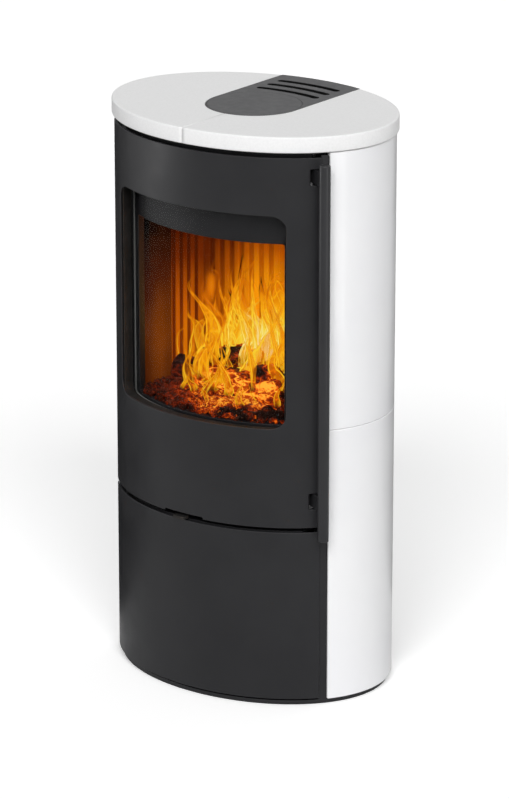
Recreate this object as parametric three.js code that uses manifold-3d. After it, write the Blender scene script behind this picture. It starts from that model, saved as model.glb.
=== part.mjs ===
// Tiled wood stove with an elliptical plan: a curved glazed door, a lower compartment door with the same
// sweep, ceramic side tiles and a stone top in two halves.
// Millimetres, +Z up. The front faces -Y. The origin is on the floor, in the middle of the footprint.
// Curved walls are set out on the body's ellipse: by an inset from its surface, and by an angle t in
// degrees that starts at the middle of the front and is positive towards the right side.

import * as THREE from 'three';
import { mergeVertices } from 'three/addons/utils/BufferGeometryUtils.js';
import Module from 'manifold-3d';

const wasm = await Module();
wasm.setup();

// Overall sizes
const HEIGHT = 1041;
const BODY_HALF_WIDTH = 269.3;
const BODY_HALF_DEPTH = 203.2;
const SLAB_OVERHANG = 4.3;
const SLAB_THICKNESS = 28.5;
const SLAB_EDGE_ROUNDING = 3;
const SLAB_SEAM = 0.8;

// Clearances
const SEAT = 0.3;
const RUNNING = 0.4;
const PANEL_GAP = 0.6;

// Faceting, and how far a cutter runs past a face
const ARC_STEP = 6;
const MIN_STEP = 0.6;
const CORNER_SEGMENTS = 5;
const EDGE_SEGMENTS = 2;
const LARGE_ROUND_SIDES = 32;
const ROUND_SIDES = 24;
const PIN_SIDES = 16;
const OVERCUT = 1;

// Where the curved walls begin and end, in degrees on the ellipse
const REAR_MIDDLE = 180;
const FULL_TURN = 360;
const DOOR_HALF_ANGLE = 57;
const DOOR_EDGE_GAP = 0.4;
const STRIP_SWEEP = 3.5;
const TILE_FRONT_GAP = 0.2;
const TILE_REAR_ANGLE = 132;
const REAR_PANEL_GAP = 0.4;
const REAR_FLANGE_SWEEP = 1;
const CARCASS_SETBACK = 2.9;
const POST_FLANGE_SWEEP = 8;

// Sheet and wall thicknesses
const TILE_THICKNESS = 14;
const TILE_REAR_GAP = 1.3;
const DOOR_SKIN = 4;
const LOWER_SKIN = 3;
const CARCASS_SHEET = 2;
const CASING_WALL = 4;
const FRAME_SHEET = 3;
const THIN_SHEET = 1.4;

// Heights and decks of the body
const BASE_THICKNESS = 8;
const BASE_INSET = 6.8;
const TILE_JOINT_HEIGHT = 512;
const TILE_TOP_GAP = 1.5;
const DECK_BOTTOM = 321;
const DECK_THICKNESS = 4.5;
const DECK_FRONT_INSET = 12;
const DECK_POST_GAP = 4;
const POST_INNER_STEP = 2;
const TOP_DECK_THICKNESS = 6.2;
const TOP_DECK_INSET = 14.5;
const TOP_DECK_RIM = 12;

// Posts beside the doors, folded from sheet
const POST_SHEET = 4;
const POST_PLATE_SETBACK = 3.5;
const POST_CORNER = 5;
const HINGE_POST_CORNER = 1.8;
const STRIP_INSET = 5;
const STRIP_SHEET = 3;
const STRIP_RETURN_SWEEP = 1.4;

// Lower compartment door
const LOWER_DOOR_FLOOR_GAP = 5;
const LOWER_DOOR_LAP = 0.5;
const LOWER_FRAME_DEPTH = 16;
const LOWER_FRAME_MARGIN = 11;
const LOWER_HINGE_RISE = 27;
const LOWER_HINGE_DROP = 58;

// Fire door, set out from its edge, its top and its bottom
const DOOR_JOINT = 8.5;
const DOOR_TOP_GAP = 3;
const WINDOW_JAMB = 44.85;
const WINDOW_HEAD = 103;
const WINDOW_SILL_STEP = 1;
const WINDOW_CORNER = 25;
const NOTCH_DEPTH = 4;
const NOTCH_LEFT = -48;
const NOTCH_RIGHT = 37;
const DOOR_FRAME_JAMB = 37.85;
const DOOR_FRAME_REAR_INSET = 24;
const DOOR_FRAME_MARGIN = 12;
const DOOR_FRAME_WINDOW_SETBACK = 3;
const GLASS_THICKNESS = 4;
const GLASS_OVERLAP = 11;
const GLASS_SIDE_LAP = 2;
const GASKET_THICKNESS = 2.1;
const GASKET_WIDTH = 8;
const RETAINER_SIDE_GAP = 31;
const RETAINER_HEIGHT = 12;
const DOOR_HINGE_RISE = 41.5;
const DOOR_HINGE_DROP = 59;

// Hinges
const HINGE_INSET = 8;
const HINGE_SWEEP = 1.17;
const PIN_RADIUS = 2.5;
const KNUCKLE_WALL = 2.5;
const BARREL_HEIGHT = 30;
const LUG_HEIGHT = 6;
const LUG_STEP = 2;
const LEAF_THICKNESS = 5;
const LEAF_INSET = 14;
const LEAF_BITE = 1;
const PIN_TIP = 3;

// Handle and latch, set out from the door's edge
const BAR_RADIUS = 10;
const BAR_REACH_X = 19.05;
const BAR_REACH_Y = 16.33;
const BAR_FOOT_DROP = 8;
const BAR_HEAD_DROP = 7;
const BAR_CHAMFER = 1.5;
const ARM_RISE = 48.8;
const ARM_DROP = 34.4;
const ARM_TALL = 25;
const ARM_WIDTH = 7;
const ARM_NOTCH_SWEEP = 5;
const ARM_NOTCH_CLEARANCE = 2;
const SHAFT_SETBACK_X = 27.85;
const SHAFT_SETBACK_Y = 6.67;
const SHAFT_RADIUS = 5;
const SHAFT_BRACKET_WALL = 4;
const SHAFT_BRACKET_THICKNESS = 5;
const SHAFT_BOSS_WALL = 3.5;
const SHAFT_OVERRUN = 8;
const FINGER_RISE = 101.5;
const FINGER_DROP = 89;
const FINGER_TALL = 20;
const FINGER_THICKNESS = 5;
const FINGER_REACH_X = 9.5;
const FINGER_REACH_Y = 18;
const CATCH_TALL = 34;
const CATCH_REACH = 4.5;

// Firebox casing and its front frame
const FIRE_FRAME_INSET = 31;
const FIRE_FRAME_THICKNESS = 14;
const FIRE_FRAME_JAMB = 41.85;
const FIRE_FRAME_FOOT_RISE = 8.5;
const FIRE_FRAME_HEAD_DROP = 39;
const FIRE_SIDE = 19;
const FIRE_SILL = 10;
const FIRE_HEAD_DROP = 58;
const FIRE_CORNER = 4;
const CASING_SIDE_GAP = 69.3;
const CASING_REAR_GAP = 83.2;
const CASING_HEADROOM = 1.5;
const CASING_MOUTH_GAP = 19;
const CASING_MOUTH_DEPTH = 16;
const CASING_SHOULDER_DEPTH = 36;
const CASING_CHAMFER_X = 50;
const CASING_CHAMFER_Y = 35;
const SHELF_HEADROOM = 14.1;
const FLUE_RADIUS = 75;
const FLUE_WALL = 4;
const FLUE_DROP = 82.5;
const FLUE_FLANGE_WIDTH = 9;
const FLANGE_THICKNESS = 4;
const REAR_COLLAR_REACH = 3.6;
const BLANK_LAP = 7;
const BLANK_THICKNESS = 4;

// Firebox lining
const HEARTH_THICKNESS = 25;
const CHEEK_FRONT_GAP = 1.6;
const CHEEK_LENGTH = 63;
const SIDE_BRICK_THICKNESS = 30;
const BACK_BRICK_THICKNESS = 46;
const FLUTE_PITCH = 22;
const FLUTE_DEPTH = 5;
const FLUTE_WIDTH = 8;
const FLUTE_MOUTH_WIDTH = 12;
const BAFFLE_THICKNESS = 18;
const BAFFLE_TILT = 16.4;
const BAFFLE_RISE = 1;
const BAFFLE_SETBACK = 11;
const GRATE_HALF_WIDTH = 62;
const GRATE_LENGTH = 100;
const GRATE_REAR_GAP = 44;
const GRATE_PLATE = 8;
const GRATE_RIM = 6;
const GRATE_BORDER = 9;
const GRATE_LEDGE = 10;
const GRATE_SLOTS = 9;
const GRATE_SLOT_WIDTH = 6;
const GUARD_SIDE_GAP = 8;
const GUARD_INSET = 49;
const GUARD_THICKNESS = 4;
const GUARD_TALL = 24;
const GUARD_BORDER = 6;
const GUARD_SLOT_PITCH = 9;
const GUARD_SLOT_HALF_SWEEP = 1.6;
const GUARD_SLOT_COUNT = 7;

// Ash pan
const ASH_HALF_WIDTH = 90;
const ASH_FRONT_SETBACK = 63.2;
const ASH_REAR_GAP = 60;
const ASH_TALL = 62;
const ASH_WALL = 2;
const ASH_CORNER = 8;
const ASH_GRIP_HALF_WIDTH = 34;
const ASH_GRIP_REACH = 12;
const ASH_GRIP_TALL = 20;
const ASH_OPENING_MARGIN = 4;

// Air supply
const AIR_BOX_HALF_WIDTH = 112;
const AIR_BOX_TALL = 69.2;
const AIR_BOX_FRONT_SETBACK = 108.2;
const AIR_BOX_REAR_GAP = 2;
const PORT_COUNT = 4;
const PORT_WIDTH = 26;
const PORT_PITCH = 52;
const PORT_RISE = 19.5;
const PORT_TALL = 26;
const SLIDE_SIDE_GAP = 6;
const SLIDE_TOP_GAP = 7;
const LEVER_X = -12.5;
const LEVER_WIDTH = 11;
const LEVER_TAB_WIDTH = 25;
const LEVER_TAB_LENGTH = 16;
const LEVER_TAB_CORNER = 2;
const LEVER_RISE = 1.8;
const LEVER_THICKNESS = 4;
const LEVER_REACH = 3.8;
const AIR_PORT_HALF_WIDTH = 60;
const AIR_PORT_SETBACK = 26;
const AIR_PORT_LENGTH = 22;
const INLET_RADIUS = 50;
const INLET_WALL = 3;
const INLET_DROP = 59;
const INLET_FLANGE_WIDTH = 6;
const DUCT_REAR_GAP = 53.2;
const DUCT_DEPTH = 78;
const DUCT_SIDE_MARGIN = 2;
const DUCT_FLOOR_MARGIN = 4;
const DUCT_THROAT_LEDGE = 5;

// Rear sheet
const REAR_PANEL_INSET = 3;
const REAR_HOLE_CLEARANCE = 1.2;
const VENT_PITCH = 35;
const BASE_VENT_RISE = 52;
const DECK_VENT_RISE = 84.5;
const FLUE_VENT_DROP = 173;
const VENT_HALF_WIDTH = 40;
const VENT_CENTRE_X = 78;
const VENT_TALL = 8;

// Cover let into the top, with the flue lid
const LID_RADIUS = 83.2;
const LID_THICKNESS = 6;
const LID_GAP = 0.6;
const LID_CHAMFER = 0.6;
const COVER_RIM = 2.4;
const COVER_GAP = 0.8;
const COVER_WALL = 3.5;
const COVER_PLATE = 5;
const LEDGE_WIDTH = 8;
const LEDGE_THICKNESS = 4;
const LEDGE_WALL = 4;
const SLOT_COUNT = 3;
const SLOT_REAR_INSET = 37.5;
const SLOT_LID_GAP = 16.9;
const SLOT_HALF_LENGTH = 67;
const SLOT_WIDTH = 11;

// Angles and heights worked out from the sizes above
const STRIP_START_ANGLE = DOOR_HALF_ANGLE + DOOR_EDGE_GAP;
const STRIP_END_ANGLE = STRIP_START_ANGLE + STRIP_SWEEP;
const TILE_FRONT_ANGLE = STRIP_END_ANGLE + TILE_FRONT_GAP;
const CARCASS_FRONT_ANGLE = TILE_FRONT_ANGLE + CARCASS_SETBACK;
const POST_REAR_ANGLE = CARCASS_FRONT_ANGLE + POST_FLANGE_SWEEP;
const REAR_PANEL_ANGLE = TILE_REAR_ANGLE + REAR_PANEL_GAP;
const CARCASS_INSET = TILE_THICKNESS + TILE_REAR_GAP;
const CARCASS_INNER_INSET = CARCASS_INSET + CARCASS_SHEET;
const POST_INSET = CARCASS_INNER_INSET + SEAT;
const SLAB_BOTTOM = HEIGHT - SLAB_THICKNESS;
const TOP_DECK_TOP = SLAB_BOTTOM - SEAT;
const TOP_DECK_BOTTOM = TOP_DECK_TOP - TOP_DECK_THICKNESS;
const BODY_BOTTOM = BASE_THICKNESS + SEAT;
const BODY_TOP = TOP_DECK_BOTTOM - SEAT;
const DECK_TOP = DECK_BOTTOM + DECK_THICKNESS;
const LOWER_DOOR_BOTTOM = BASE_THICKNESS + LOWER_DOOR_FLOOR_GAP;
const LOWER_DOOR_TOP = DECK_TOP + LOWER_DOOR_LAP;
const DOOR_BOTTOM = LOWER_DOOR_TOP + DOOR_JOINT;
const DOOR_TOP = TOP_DECK_BOTTOM - DOOR_TOP_GAP;
const AIR_BOX_TOP = DECK_TOP + SEAT + AIR_BOX_TALL;
const CASING_BOTTOM = AIR_BOX_TOP + SEAT;
const ASH_BOTTOM = CASING_BOTTOM + CASING_WALL + SEAT;
const ASH_TOP = ASH_BOTTOM + ASH_TALL;
const SHELF_TOP = ASH_TOP + SHELF_HEADROOM + CASING_WALL;
const HEARTH_BOTTOM = SHELF_TOP + SEAT;
const HEARTH_TOP = HEARTH_BOTTOM + HEARTH_THICKNESS;
const FIRE_BOTTOM = HEARTH_TOP + FIRE_SILL;
const WINDOW_BOTTOM = FIRE_BOTTOM + WINDOW_SILL_STEP;
const WINDOW_TOP = DOOR_TOP - WINDOW_HEAD;
const FIRE_TOP = WINDOW_TOP - FIRE_HEAD_DROP;
const FIRE_FRAME_BOTTOM = DOOR_BOTTOM + FIRE_FRAME_FOOT_RISE;
const FIRE_FRAME_TOP = DOOR_TOP - FIRE_FRAME_HEAD_DROP;
const CASING_TOP = TOP_DECK_BOTTOM - BLANK_THICKNESS - CASING_HEADROOM;
const ROOF_BOTTOM = CASING_TOP - CASING_WALL;
const FLUE_HEIGHT = CASING_TOP - FLUE_DROP;
const BAFFLE_HEIGHT = FIRE_TOP + BAFFLE_RISE;
const GLASS_BOTTOM = WINDOW_BOTTOM - GLASS_OVERLAP - DOOR_FRAME_WINDOW_SETBACK;
const GLASS_TOP = WINDOW_TOP + GLASS_OVERLAP + DOOR_FRAME_WINDOW_SETBACK;
const INLET_HEIGHT = DECK_BOTTOM - INLET_DROP;
const LID_BOTTOM = HEIGHT - LID_THICKNESS;
const DOOR_HINGE_HEIGHTS = [DOOR_BOTTOM + DOOR_HINGE_RISE, DOOR_TOP - DOOR_HINGE_DROP];
const LOWER_HINGE_HEIGHTS = [LOWER_DOOR_BOTTOM + LOWER_HINGE_RISE, LOWER_DOOR_TOP - LOWER_HINGE_DROP];
const ARM_HEIGHTS = [DOOR_BOTTOM + ARM_RISE, DOOR_TOP - ARM_DROP];
const FINGER_HEIGHTS = [DOOR_BOTTOM + FINGER_RISE, DOOR_TOP - FINGER_DROP];
const VENT_ROWS = [
  BASE_THICKNESS + BASE_VENT_RISE,
  BASE_THICKNESS + BASE_VENT_RISE + VENT_PITCH,
  DECK_TOP + DECK_VENT_RISE,
  DECK_TOP + DECK_VENT_RISE + VENT_PITCH,
  FLUE_HEIGHT - FLUE_VENT_DROP,
];

// Places in plan, worked out from the sizes above
const FAR = 2 * HEIGHT;
const DOOR_EDGE = bodyPoint(0, DOOR_HALF_ANGLE);
const HINGE_AXIS = bodyPoint(HINGE_INSET, -DOOR_HALF_ANGLE - HINGE_SWEEP);
const SHAFT_X = DOOR_EDGE.x - SHAFT_SETBACK_X;
const SHAFT_Y = DOOR_EDGE.y + SHAFT_SETBACK_Y;
const BAR_X = DOOR_EDGE.x + BAR_REACH_X;
const BAR_Y = DOOR_EDGE.y - BAR_REACH_Y;
const POST_CORNER_POINT = bodyPoint(TILE_THICKNESS, STRIP_END_ANGLE);
const POST_PLATE_REAR = POST_CORNER_POINT.y + POST_PLATE_SETBACK;
const POST_PLATE_FRONT = POST_PLATE_REAR - POST_SHEET;
const POST_INNER_X = SHAFT_X + POST_INNER_STEP;
const DECK_HALF_WIDTH = POST_INNER_X - DECK_POST_GAP;
const WINDOW_HALF_WIDTH = DOOR_EDGE.x - WINDOW_JAMB;
const DOOR_FRAME_HALF_WIDTH = DOOR_EDGE.x - DOOR_FRAME_JAMB;
const GLASS_INSET = DOOR_FRAME_REAR_INSET + SEAT;
const GLASS_HALF_WIDTH = WINDOW_HALF_WIDTH + GLASS_SIDE_LAP;
const GASKET_INSET = GLASS_INSET + GLASS_THICKNESS + SEAT;
const RETAINER_HALF_WIDTH = WINDOW_HALF_WIDTH - RETAINER_SIDE_GAP;
const FIRE_FRAME_HALF_WIDTH = DOOR_EDGE.x - FIRE_FRAME_JAMB;
const CASING_FRONT_INSET = FIRE_FRAME_INSET + FIRE_FRAME_THICKNESS + SEAT;
const CASING_HALF_WIDTH = BODY_HALF_WIDTH - CASING_SIDE_GAP;
const CASING_MOUTH_HALF_WIDTH = SHAFT_X - CASING_MOUTH_GAP;
const CASING_MOUTH_REAR_Y = SHAFT_Y + CASING_MOUTH_DEPTH;
const CASING_SHOULDER_Y = SHAFT_Y + CASING_SHOULDER_DEPTH;
const CASING_REAR_Y = BODY_HALF_DEPTH - CASING_REAR_GAP;
const LINING_INSET = CASING_WALL + SEAT;
const FIRE_HALF_WIDTH = CASING_MOUTH_HALF_WIDTH - FIRE_SIDE;
const CHEEK_FRONT_Y = frontY(CASING_FRONT_INSET, CASING_MOUTH_HALF_WIDTH - CASING_WALL) + CHEEK_FRONT_GAP;
const CHEEK_REAR_Y = CHEEK_FRONT_Y + CHEEK_LENGTH;
const SIDE_BRICK_FACE_X = CASING_HALF_WIDTH - SIDE_BRICK_THICKNESS;
const BACK_BRICK_FACE_Y = CASING_REAR_Y - BACK_BRICK_THICKNESS;
const BAFFLE_FRONT_Y = CHEEK_FRONT_Y + BAFFLE_SETBACK;
const GRATE_REAR_Y = BACK_BRICK_FACE_Y - GRATE_REAR_GAP;
const GRATE_FRONT_Y = GRATE_REAR_Y - GRATE_LENGTH;
const ASH_FRONT_Y = ASH_FRONT_SETBACK - BODY_HALF_DEPTH;
const ASH_REAR_Y = CASING_REAR_Y - ASH_REAR_GAP;
const AIR_BOX_FRONT_Y = AIR_BOX_FRONT_SETBACK - BODY_HALF_DEPTH;
const AIR_BOX_REAR_Y = CASING_REAR_Y - AIR_BOX_REAR_GAP;
const AIR_PORT_REAR_Y = AIR_BOX_REAR_Y - AIR_PORT_SETBACK;
const AIR_PORT_FRONT_Y = AIR_PORT_REAR_Y - AIR_PORT_LENGTH;
const DUCT_REAR_Y = BODY_HALF_DEPTH - DUCT_REAR_GAP;
const DUCT_FRONT_Y = DUCT_REAR_Y - DUCT_DEPTH;
const INLET_FLANGE_RADIUS = INLET_RADIUS + INLET_FLANGE_WIDTH;
const DUCT_HALF_WIDTH = INLET_FLANGE_RADIUS + DUCT_SIDE_MARGIN;
const DUCT_BOTTOM = INLET_HEIGHT - INLET_FLANGE_RADIUS - DUCT_FLOOR_MARGIN;
const DUCT_THROAT_HALF_WIDTH = DUCT_HALF_WIDTH - INLET_WALL - DUCT_THROAT_LEDGE;
const REAR_COLLAR_Y = BODY_HALF_DEPTH + REAR_COLLAR_REACH;
const KNUCKLE_RADIUS = PIN_RADIUS + KNUCKLE_WALL;
const SHAFT_BOSS_RADIUS = SHAFT_RADIUS + SHAFT_BOSS_WALL;
const COVER_RADIUS = LID_RADIUS + COVER_RIM;
const LID_RECESS_RADIUS = LID_RADIUS + LID_GAP;

// Finishes
const blackSteel = finish(0x2b2c2e, 0.5, 0.35);
const castGrey = finish(0x5a5a5b, 0.6, 0.4);
const ceramic = finish(0xf0f0f2, 0.25, 0);
const stone = finish(0xdcdbd9, 0.55, 0);
const bareSteel = finish(0x8d8f92, 0.45, 0.9);
const vermiculite = finish(0xb79a6d, 0.95, 0);
const castIron = finish(0x35332f, 0.75, 0.5);
const sealRope = finish(0x4a4a48, 0.95, 0);
const glass = new THREE.MeshStandardMaterial({
  color: 0x23211f, roughness: 0.05, metalness: 0, transparent: true, opacity: 0.35,
});

function finish(color, roughness, metalness) {
  return new THREE.MeshStandardMaterial({ color, roughness, metalness });
}

/* ---- Setting out on the ellipse ---- */

/** Point on the body's ellipse, set in by `inset`, at `t` degrees from the middle of the front. */
function bodyPoint(inset, t) {
  const angle = THREE.MathUtils.degToRad(t);
  return new THREE.Vector2(
    (BODY_HALF_WIDTH - inset) * Math.sin(angle),
    -(BODY_HALF_DEPTH - inset) * Math.cos(angle),
  );
}

/** How far forward the ellipse, set in by `inset`, reaches at `x`. */
function frontY(inset, x) {
  return -(BODY_HALF_DEPTH - inset) * Math.sqrt(1 - (x / (BODY_HALF_WIDTH - inset)) ** 2);
}

/** Points along the ellipse: both ends, and between them the grid that all curved walls share. */
function arcPoints(inset, from, to) {
  const angles = [from];
  const first = Math.floor(from / ARC_STEP) + 1;
  for (let step = first; step * ARC_STEP < to - MIN_STEP; step += 1) {
    if (step * ARC_STEP - from > MIN_STEP) angles.push(step * ARC_STEP);
  }
  angles.push(to);
  return angles.map((t) => bodyPoint(inset, t));
}

/** Plan of a curved wall between two insets. */
function wallPlan(outerInset, innerInset, from, to) {
  return [...arcPoints(outerInset, from, to), ...arcPoints(innerInset, from, to).reverse()];
}

/** Plan of the whole ellipse, set in by `inset`. */
function ellipsePlan(inset) {
  return arcPoints(inset, 0, FULL_TURN).slice(0, -1);
}

function mirrored(plan) {
  return plan.map((point) => new THREE.Vector2(-point.x, point.y)).reverse();
}

/** Closed plan with every edge moved inwards by `distance`. The plan runs anticlockwise. */
function insetPlan(plan, distance) {
  return plan.map((corner, i) => {
    const before = plan[(i + plan.length - 1) % plan.length];
    const after = plan[(i + 1) % plan.length];
    const arriving = corner.clone().sub(before).normalize();
    const leaving = after.clone().sub(corner).normalize();
    const bisector = new THREE.Vector2(-arriving.y - leaving.y, arriving.x + leaving.x).normalize();
    const stretch = distance / bisector.dot(new THREE.Vector2(-arriving.y, arriving.x));
    return corner.clone().addScaledVector(bisector, stretch);
  });
}

/* ---- Solids ---- */

/** A manifold solid from a closed three.js geometry. */
function solidOf(geometry) {
  const bare = geometry.clone();
  bare.deleteAttribute('normal');
  bare.deleteAttribute('uv');
  const merged = mergeVertices(bare);
  return new wasm.Manifold(new wasm.Mesh({
    numProp: 3,
    vertProperties: new Float32Array(merged.attributes.position.array),
    triVerts: new Uint32Array(merged.index.array),
  }));
}

function geometryOf(solid) {
  const mesh = solid.getMesh();
  const geometry = new THREE.BufferGeometry();
  geometry.setAttribute('position', new THREE.BufferAttribute(mesh.vertProperties, 3));
  geometry.setIndex(new THREE.BufferAttribute(mesh.triVerts, 1));
  geometry.computeVertexNormals();
  return geometry;
}

function join(...solids) {
  return solids.reduce((whole, piece) => whole.add(piece));
}

function cut(solid, ...cutters) {
  return cutters.reduce((rest, cutter) => rest.subtract(cutter), solid);
}

function box(x0, x1, y0, y1, z0, z1) {
  const geometry = new THREE.BoxGeometry(x1 - x0, y1 - y0, z1 - z0);
  geometry.translate((x0 + x1) / 2, (y0 + y1) / 2, (z0 + z1) / 2);
  return solidOf(geometry);
}

/** A plan or a shape, extruded upwards from z0 to z1. */
function prism(plan, z0, z1) {
  const shape = plan instanceof THREE.Shape ? plan : new THREE.Shape(plan);
  const geometry = new THREE.ExtrudeGeometry(shape, {
    depth: z1 - z0, bevelEnabled: false, curveSegments: CORNER_SEGMENTS,
  });
  geometry.translate(0, 0, z0);
  return solidOf(geometry);
}

/** A shape drawn in x and z, extruded from y = 0 forwards through the front. */
function frontPrism(shape) {
  const geometry = new THREE.ExtrudeGeometry(shape, {
    depth: FAR, bevelEnabled: false, curveSegments: CORNER_SEGMENTS,
  });
  geometry.rotateX(Math.PI / 2);
  return solidOf(geometry);
}

/** An upright cylinder. */
function post(x, y, radius, z0, z1, sides = ROUND_SIDES) {
  const geometry = new THREE.CylinderGeometry(radius, radius, z1 - z0, sides);
  geometry.rotateX(Math.PI / 2);
  geometry.translate(x, y, (z0 + z1) / 2);
  return solidOf(geometry);
}

/** A cylinder that lies along Y. */
function drum(x, z, radius, y0, y1, sides = LARGE_ROUND_SIDES) {
  const geometry = new THREE.CylinderGeometry(radius, radius, y1 - y0, sides);
  geometry.translate(x, (y0 + y1) / 2, z);
  return solidOf(geometry);
}

/** Rectangle with round corners, as a shape for prism or frontPrism. */
function roundedRectangle(left, right, bottom, top, radius) {
  const shape = new THREE.Shape();
  shape.moveTo(left + radius, bottom);
  shape.absarc(right - radius, bottom + radius, radius, -Math.PI / 2, 0);
  shape.absarc(right - radius, top - radius, radius, 0, Math.PI / 2);
  shape.absarc(left + radius, top - radius, radius, Math.PI / 2, Math.PI);
  shape.absarc(left + radius, bottom + radius, radius, Math.PI, 1.5 * Math.PI);
  return shape;
}

/** The part of a curved wall that lies within |x| < halfWidth at the front. */
function frontWall(outerInset, innerInset, halfWidth, z0, z1) {
  const wall = prism(wallPlan(outerInset, innerInset, -2 * DOOR_HALF_ANGLE, 2 * DOOR_HALF_ANGLE), z0, z1);
  return wall.intersect(box(-halfWidth, halfWidth, -FAR, 0, z0 - OVERCUT, z1 + OVERCUT));
}

/** Plan of a straight bar between two points. */
function barPlan(x0, y0, x1, y1, width) {
  const along = new THREE.Vector2(x1 - x0, y1 - y0).normalize();
  const side = new THREE.Vector2(-along.y, along.x).multiplyScalar(width / 2);
  const start = new THREE.Vector2(x0, y0);
  const end = new THREE.Vector2(x1, y1);
  return [start.clone().sub(side), end.clone().sub(side), end.clone().add(side), start.clone().add(side)];
}

function piece(name, shape, material) {
  const mesh = new THREE.Mesh(shape.isBufferGeometry ? shape : geometryOf(shape), material);
  mesh.name = name;
  return mesh;
}

/* ---- Carcass: base, posts, decks, shell and rear sheet ---- */

/** Plan of the folded post beside the door, on the right. The front strip shows only on the latch side. */
function postPlan(hasStrip) {
  const stripRear = STRIP_INSET + STRIP_SHEET;
  const returnAngle = STRIP_END_ANGLE - STRIP_RETURN_SWEEP;
  const cornerX = POST_CORNER_POINT.x - POST_CORNER;
  const start = hasStrip
    ? [
      bodyPoint(stripRear, STRIP_START_ANGLE),
      bodyPoint(STRIP_INSET, STRIP_START_ANGLE),
      bodyPoint(STRIP_INSET, STRIP_END_ANGLE),
      POST_CORNER_POINT,
    ]
    : [new THREE.Vector2(POST_CORNER_POINT.x - HINGE_POST_CORNER, POST_PLATE_FRONT)];
  const end = hasStrip
    ? [new THREE.Vector2(cornerX, POST_PLATE_FRONT), bodyPoint(stripRear, returnAngle)]
    : [];
  return [
    ...start,
    ...wallPlan(POST_INSET, POST_INSET + POST_SHEET, CARCASS_FRONT_ANGLE, POST_REAR_ANGLE),
    new THREE.Vector2(cornerX, POST_PLATE_REAR),
    new THREE.Vector2(POST_INNER_X, POST_PLATE_REAR),
    new THREE.Vector2(POST_INNER_X, POST_PLATE_FRONT),
    ...end,
  ];
}

function makeCarcass() {
  const group = new THREE.Group();
  group.add(piece('base_plate', prism(ellipsePlan(BASE_INSET), 0, BASE_THICKNESS), blackSteel));

  const flueHole = drum(0, FLUE_HEIGHT, FLUE_RADIUS + REAR_HOLE_CLEARANCE, 0, FAR);
  const inletHole = drum(0, INLET_HEIGHT, INLET_RADIUS + REAR_HOLE_CLEARANCE, 0, FAR);
  const shellEnds = [CARCASS_FRONT_ANGLE, FULL_TURN - CARCASS_FRONT_ANGLE];
  const shellPlan = wallPlan(CARCASS_INSET, CARCASS_INNER_INSET, ...shellEnds);
  const ledgePlan = wallPlan(REAR_PANEL_INSET, CARCASS_INNER_INSET, ...shellEnds);
  const shell = join(
    prism(shellPlan, BODY_BOTTOM, BODY_TOP),
    prism(ledgePlan, BODY_BOTTOM, BODY_BOTTOM + THIN_SHEET),
  );
  group.add(piece('carcass_shell', cut(shell, flueHole, inletHole), blackSteel));

  const latchPost = postPlan(true);
  const hingePost = mirrored(postPlan(false));
  group.add(piece('latch_post', prism(latchPost, BODY_BOTTOM, BODY_TOP), blackSteel));
  group.add(piece('hinge_post', prism(hingePost, BODY_BOTTOM, BODY_TOP), blackSteel));
  group.add(piece('middle_deck', middleDeck(), blackSteel));

  const wellPlan = insetPlan(coverPlan(0), TOP_DECK_RIM);
  const coverWell = prism(wellPlan, TOP_DECK_BOTTOM - OVERCUT, TOP_DECK_TOP + OVERCUT);
  const topDeck = cut(prism(ellipsePlan(TOP_DECK_INSET), TOP_DECK_BOTTOM, TOP_DECK_TOP), coverWell);
  group.add(piece('top_deck', topDeck, blackSteel));
  group.add(piece('rear_panel', cut(rearPanel(), flueHole, inletHole), blackSteel));
  return group;
}

/** The deck between the two doors: recessed at the front, cut out round the posts. */
function middleDeck() {
  const rear = prism(ellipsePlan(POST_INSET + POST_SHEET + SEAT), DECK_BOTTOM, DECK_TOP);
  const wide = rear.intersect(box(-FAR, FAR, CASING_SHOULDER_Y, FAR, 0, FAR));
  const front = prism(ellipsePlan(DECK_FRONT_INSET), DECK_BOTTOM, DECK_TOP);
  const narrow = front.intersect(
    box(-DECK_HALF_WIDTH, DECK_HALF_WIDTH, -FAR, CASING_SHOULDER_Y + OVERCUT, 0, FAR),
  );
  const throat = box(
    -DUCT_THROAT_HALF_WIDTH, DUCT_THROAT_HALF_WIDTH,
    DUCT_FRONT_Y + 2 * INLET_WALL, AIR_BOX_REAR_Y - 2 * INLET_WALL, 0, FAR,
  );
  return cut(join(wide, narrow), throat);
}

/** Curved rear sheet with flanges that seat on the shell, and rows of vents. */
function rearPanel() {
  const from = REAR_PANEL_ANGLE;
  const to = FULL_TURN - REAR_PANEL_ANGLE;
  const bottom = BODY_BOTTOM + THIN_SHEET + SEAT;
  const seat = CARCASS_INSET - SEAT;
  const sheet = wallPlan(REAR_PANEL_INSET, REAR_PANEL_INSET + CARCASS_SHEET, from, to);
  let panel = join(
    prism(sheet, bottom, BODY_TOP),
    prism(wallPlan(REAR_PANEL_INSET, seat, from, from + REAR_FLANGE_SWEEP), bottom, BODY_TOP),
    prism(wallPlan(REAR_PANEL_INSET, seat, to - REAR_FLANGE_SWEEP, to), bottom, BODY_TOP),
  );
  for (const height of VENT_ROWS) {
    for (const side of [-1, 1]) {
      const centre = side * VENT_CENTRE_X;
      panel = cut(panel, box(
        centre - VENT_HALF_WIDTH, centre + VENT_HALF_WIDTH, BODY_HALF_DEPTH / 2, FAR,
        height - VENT_TALL / 2, height + VENT_TALL / 2,
      ));
    }
  }
  return panel;
}

/* ---- Tiles and stone top ---- */

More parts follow.
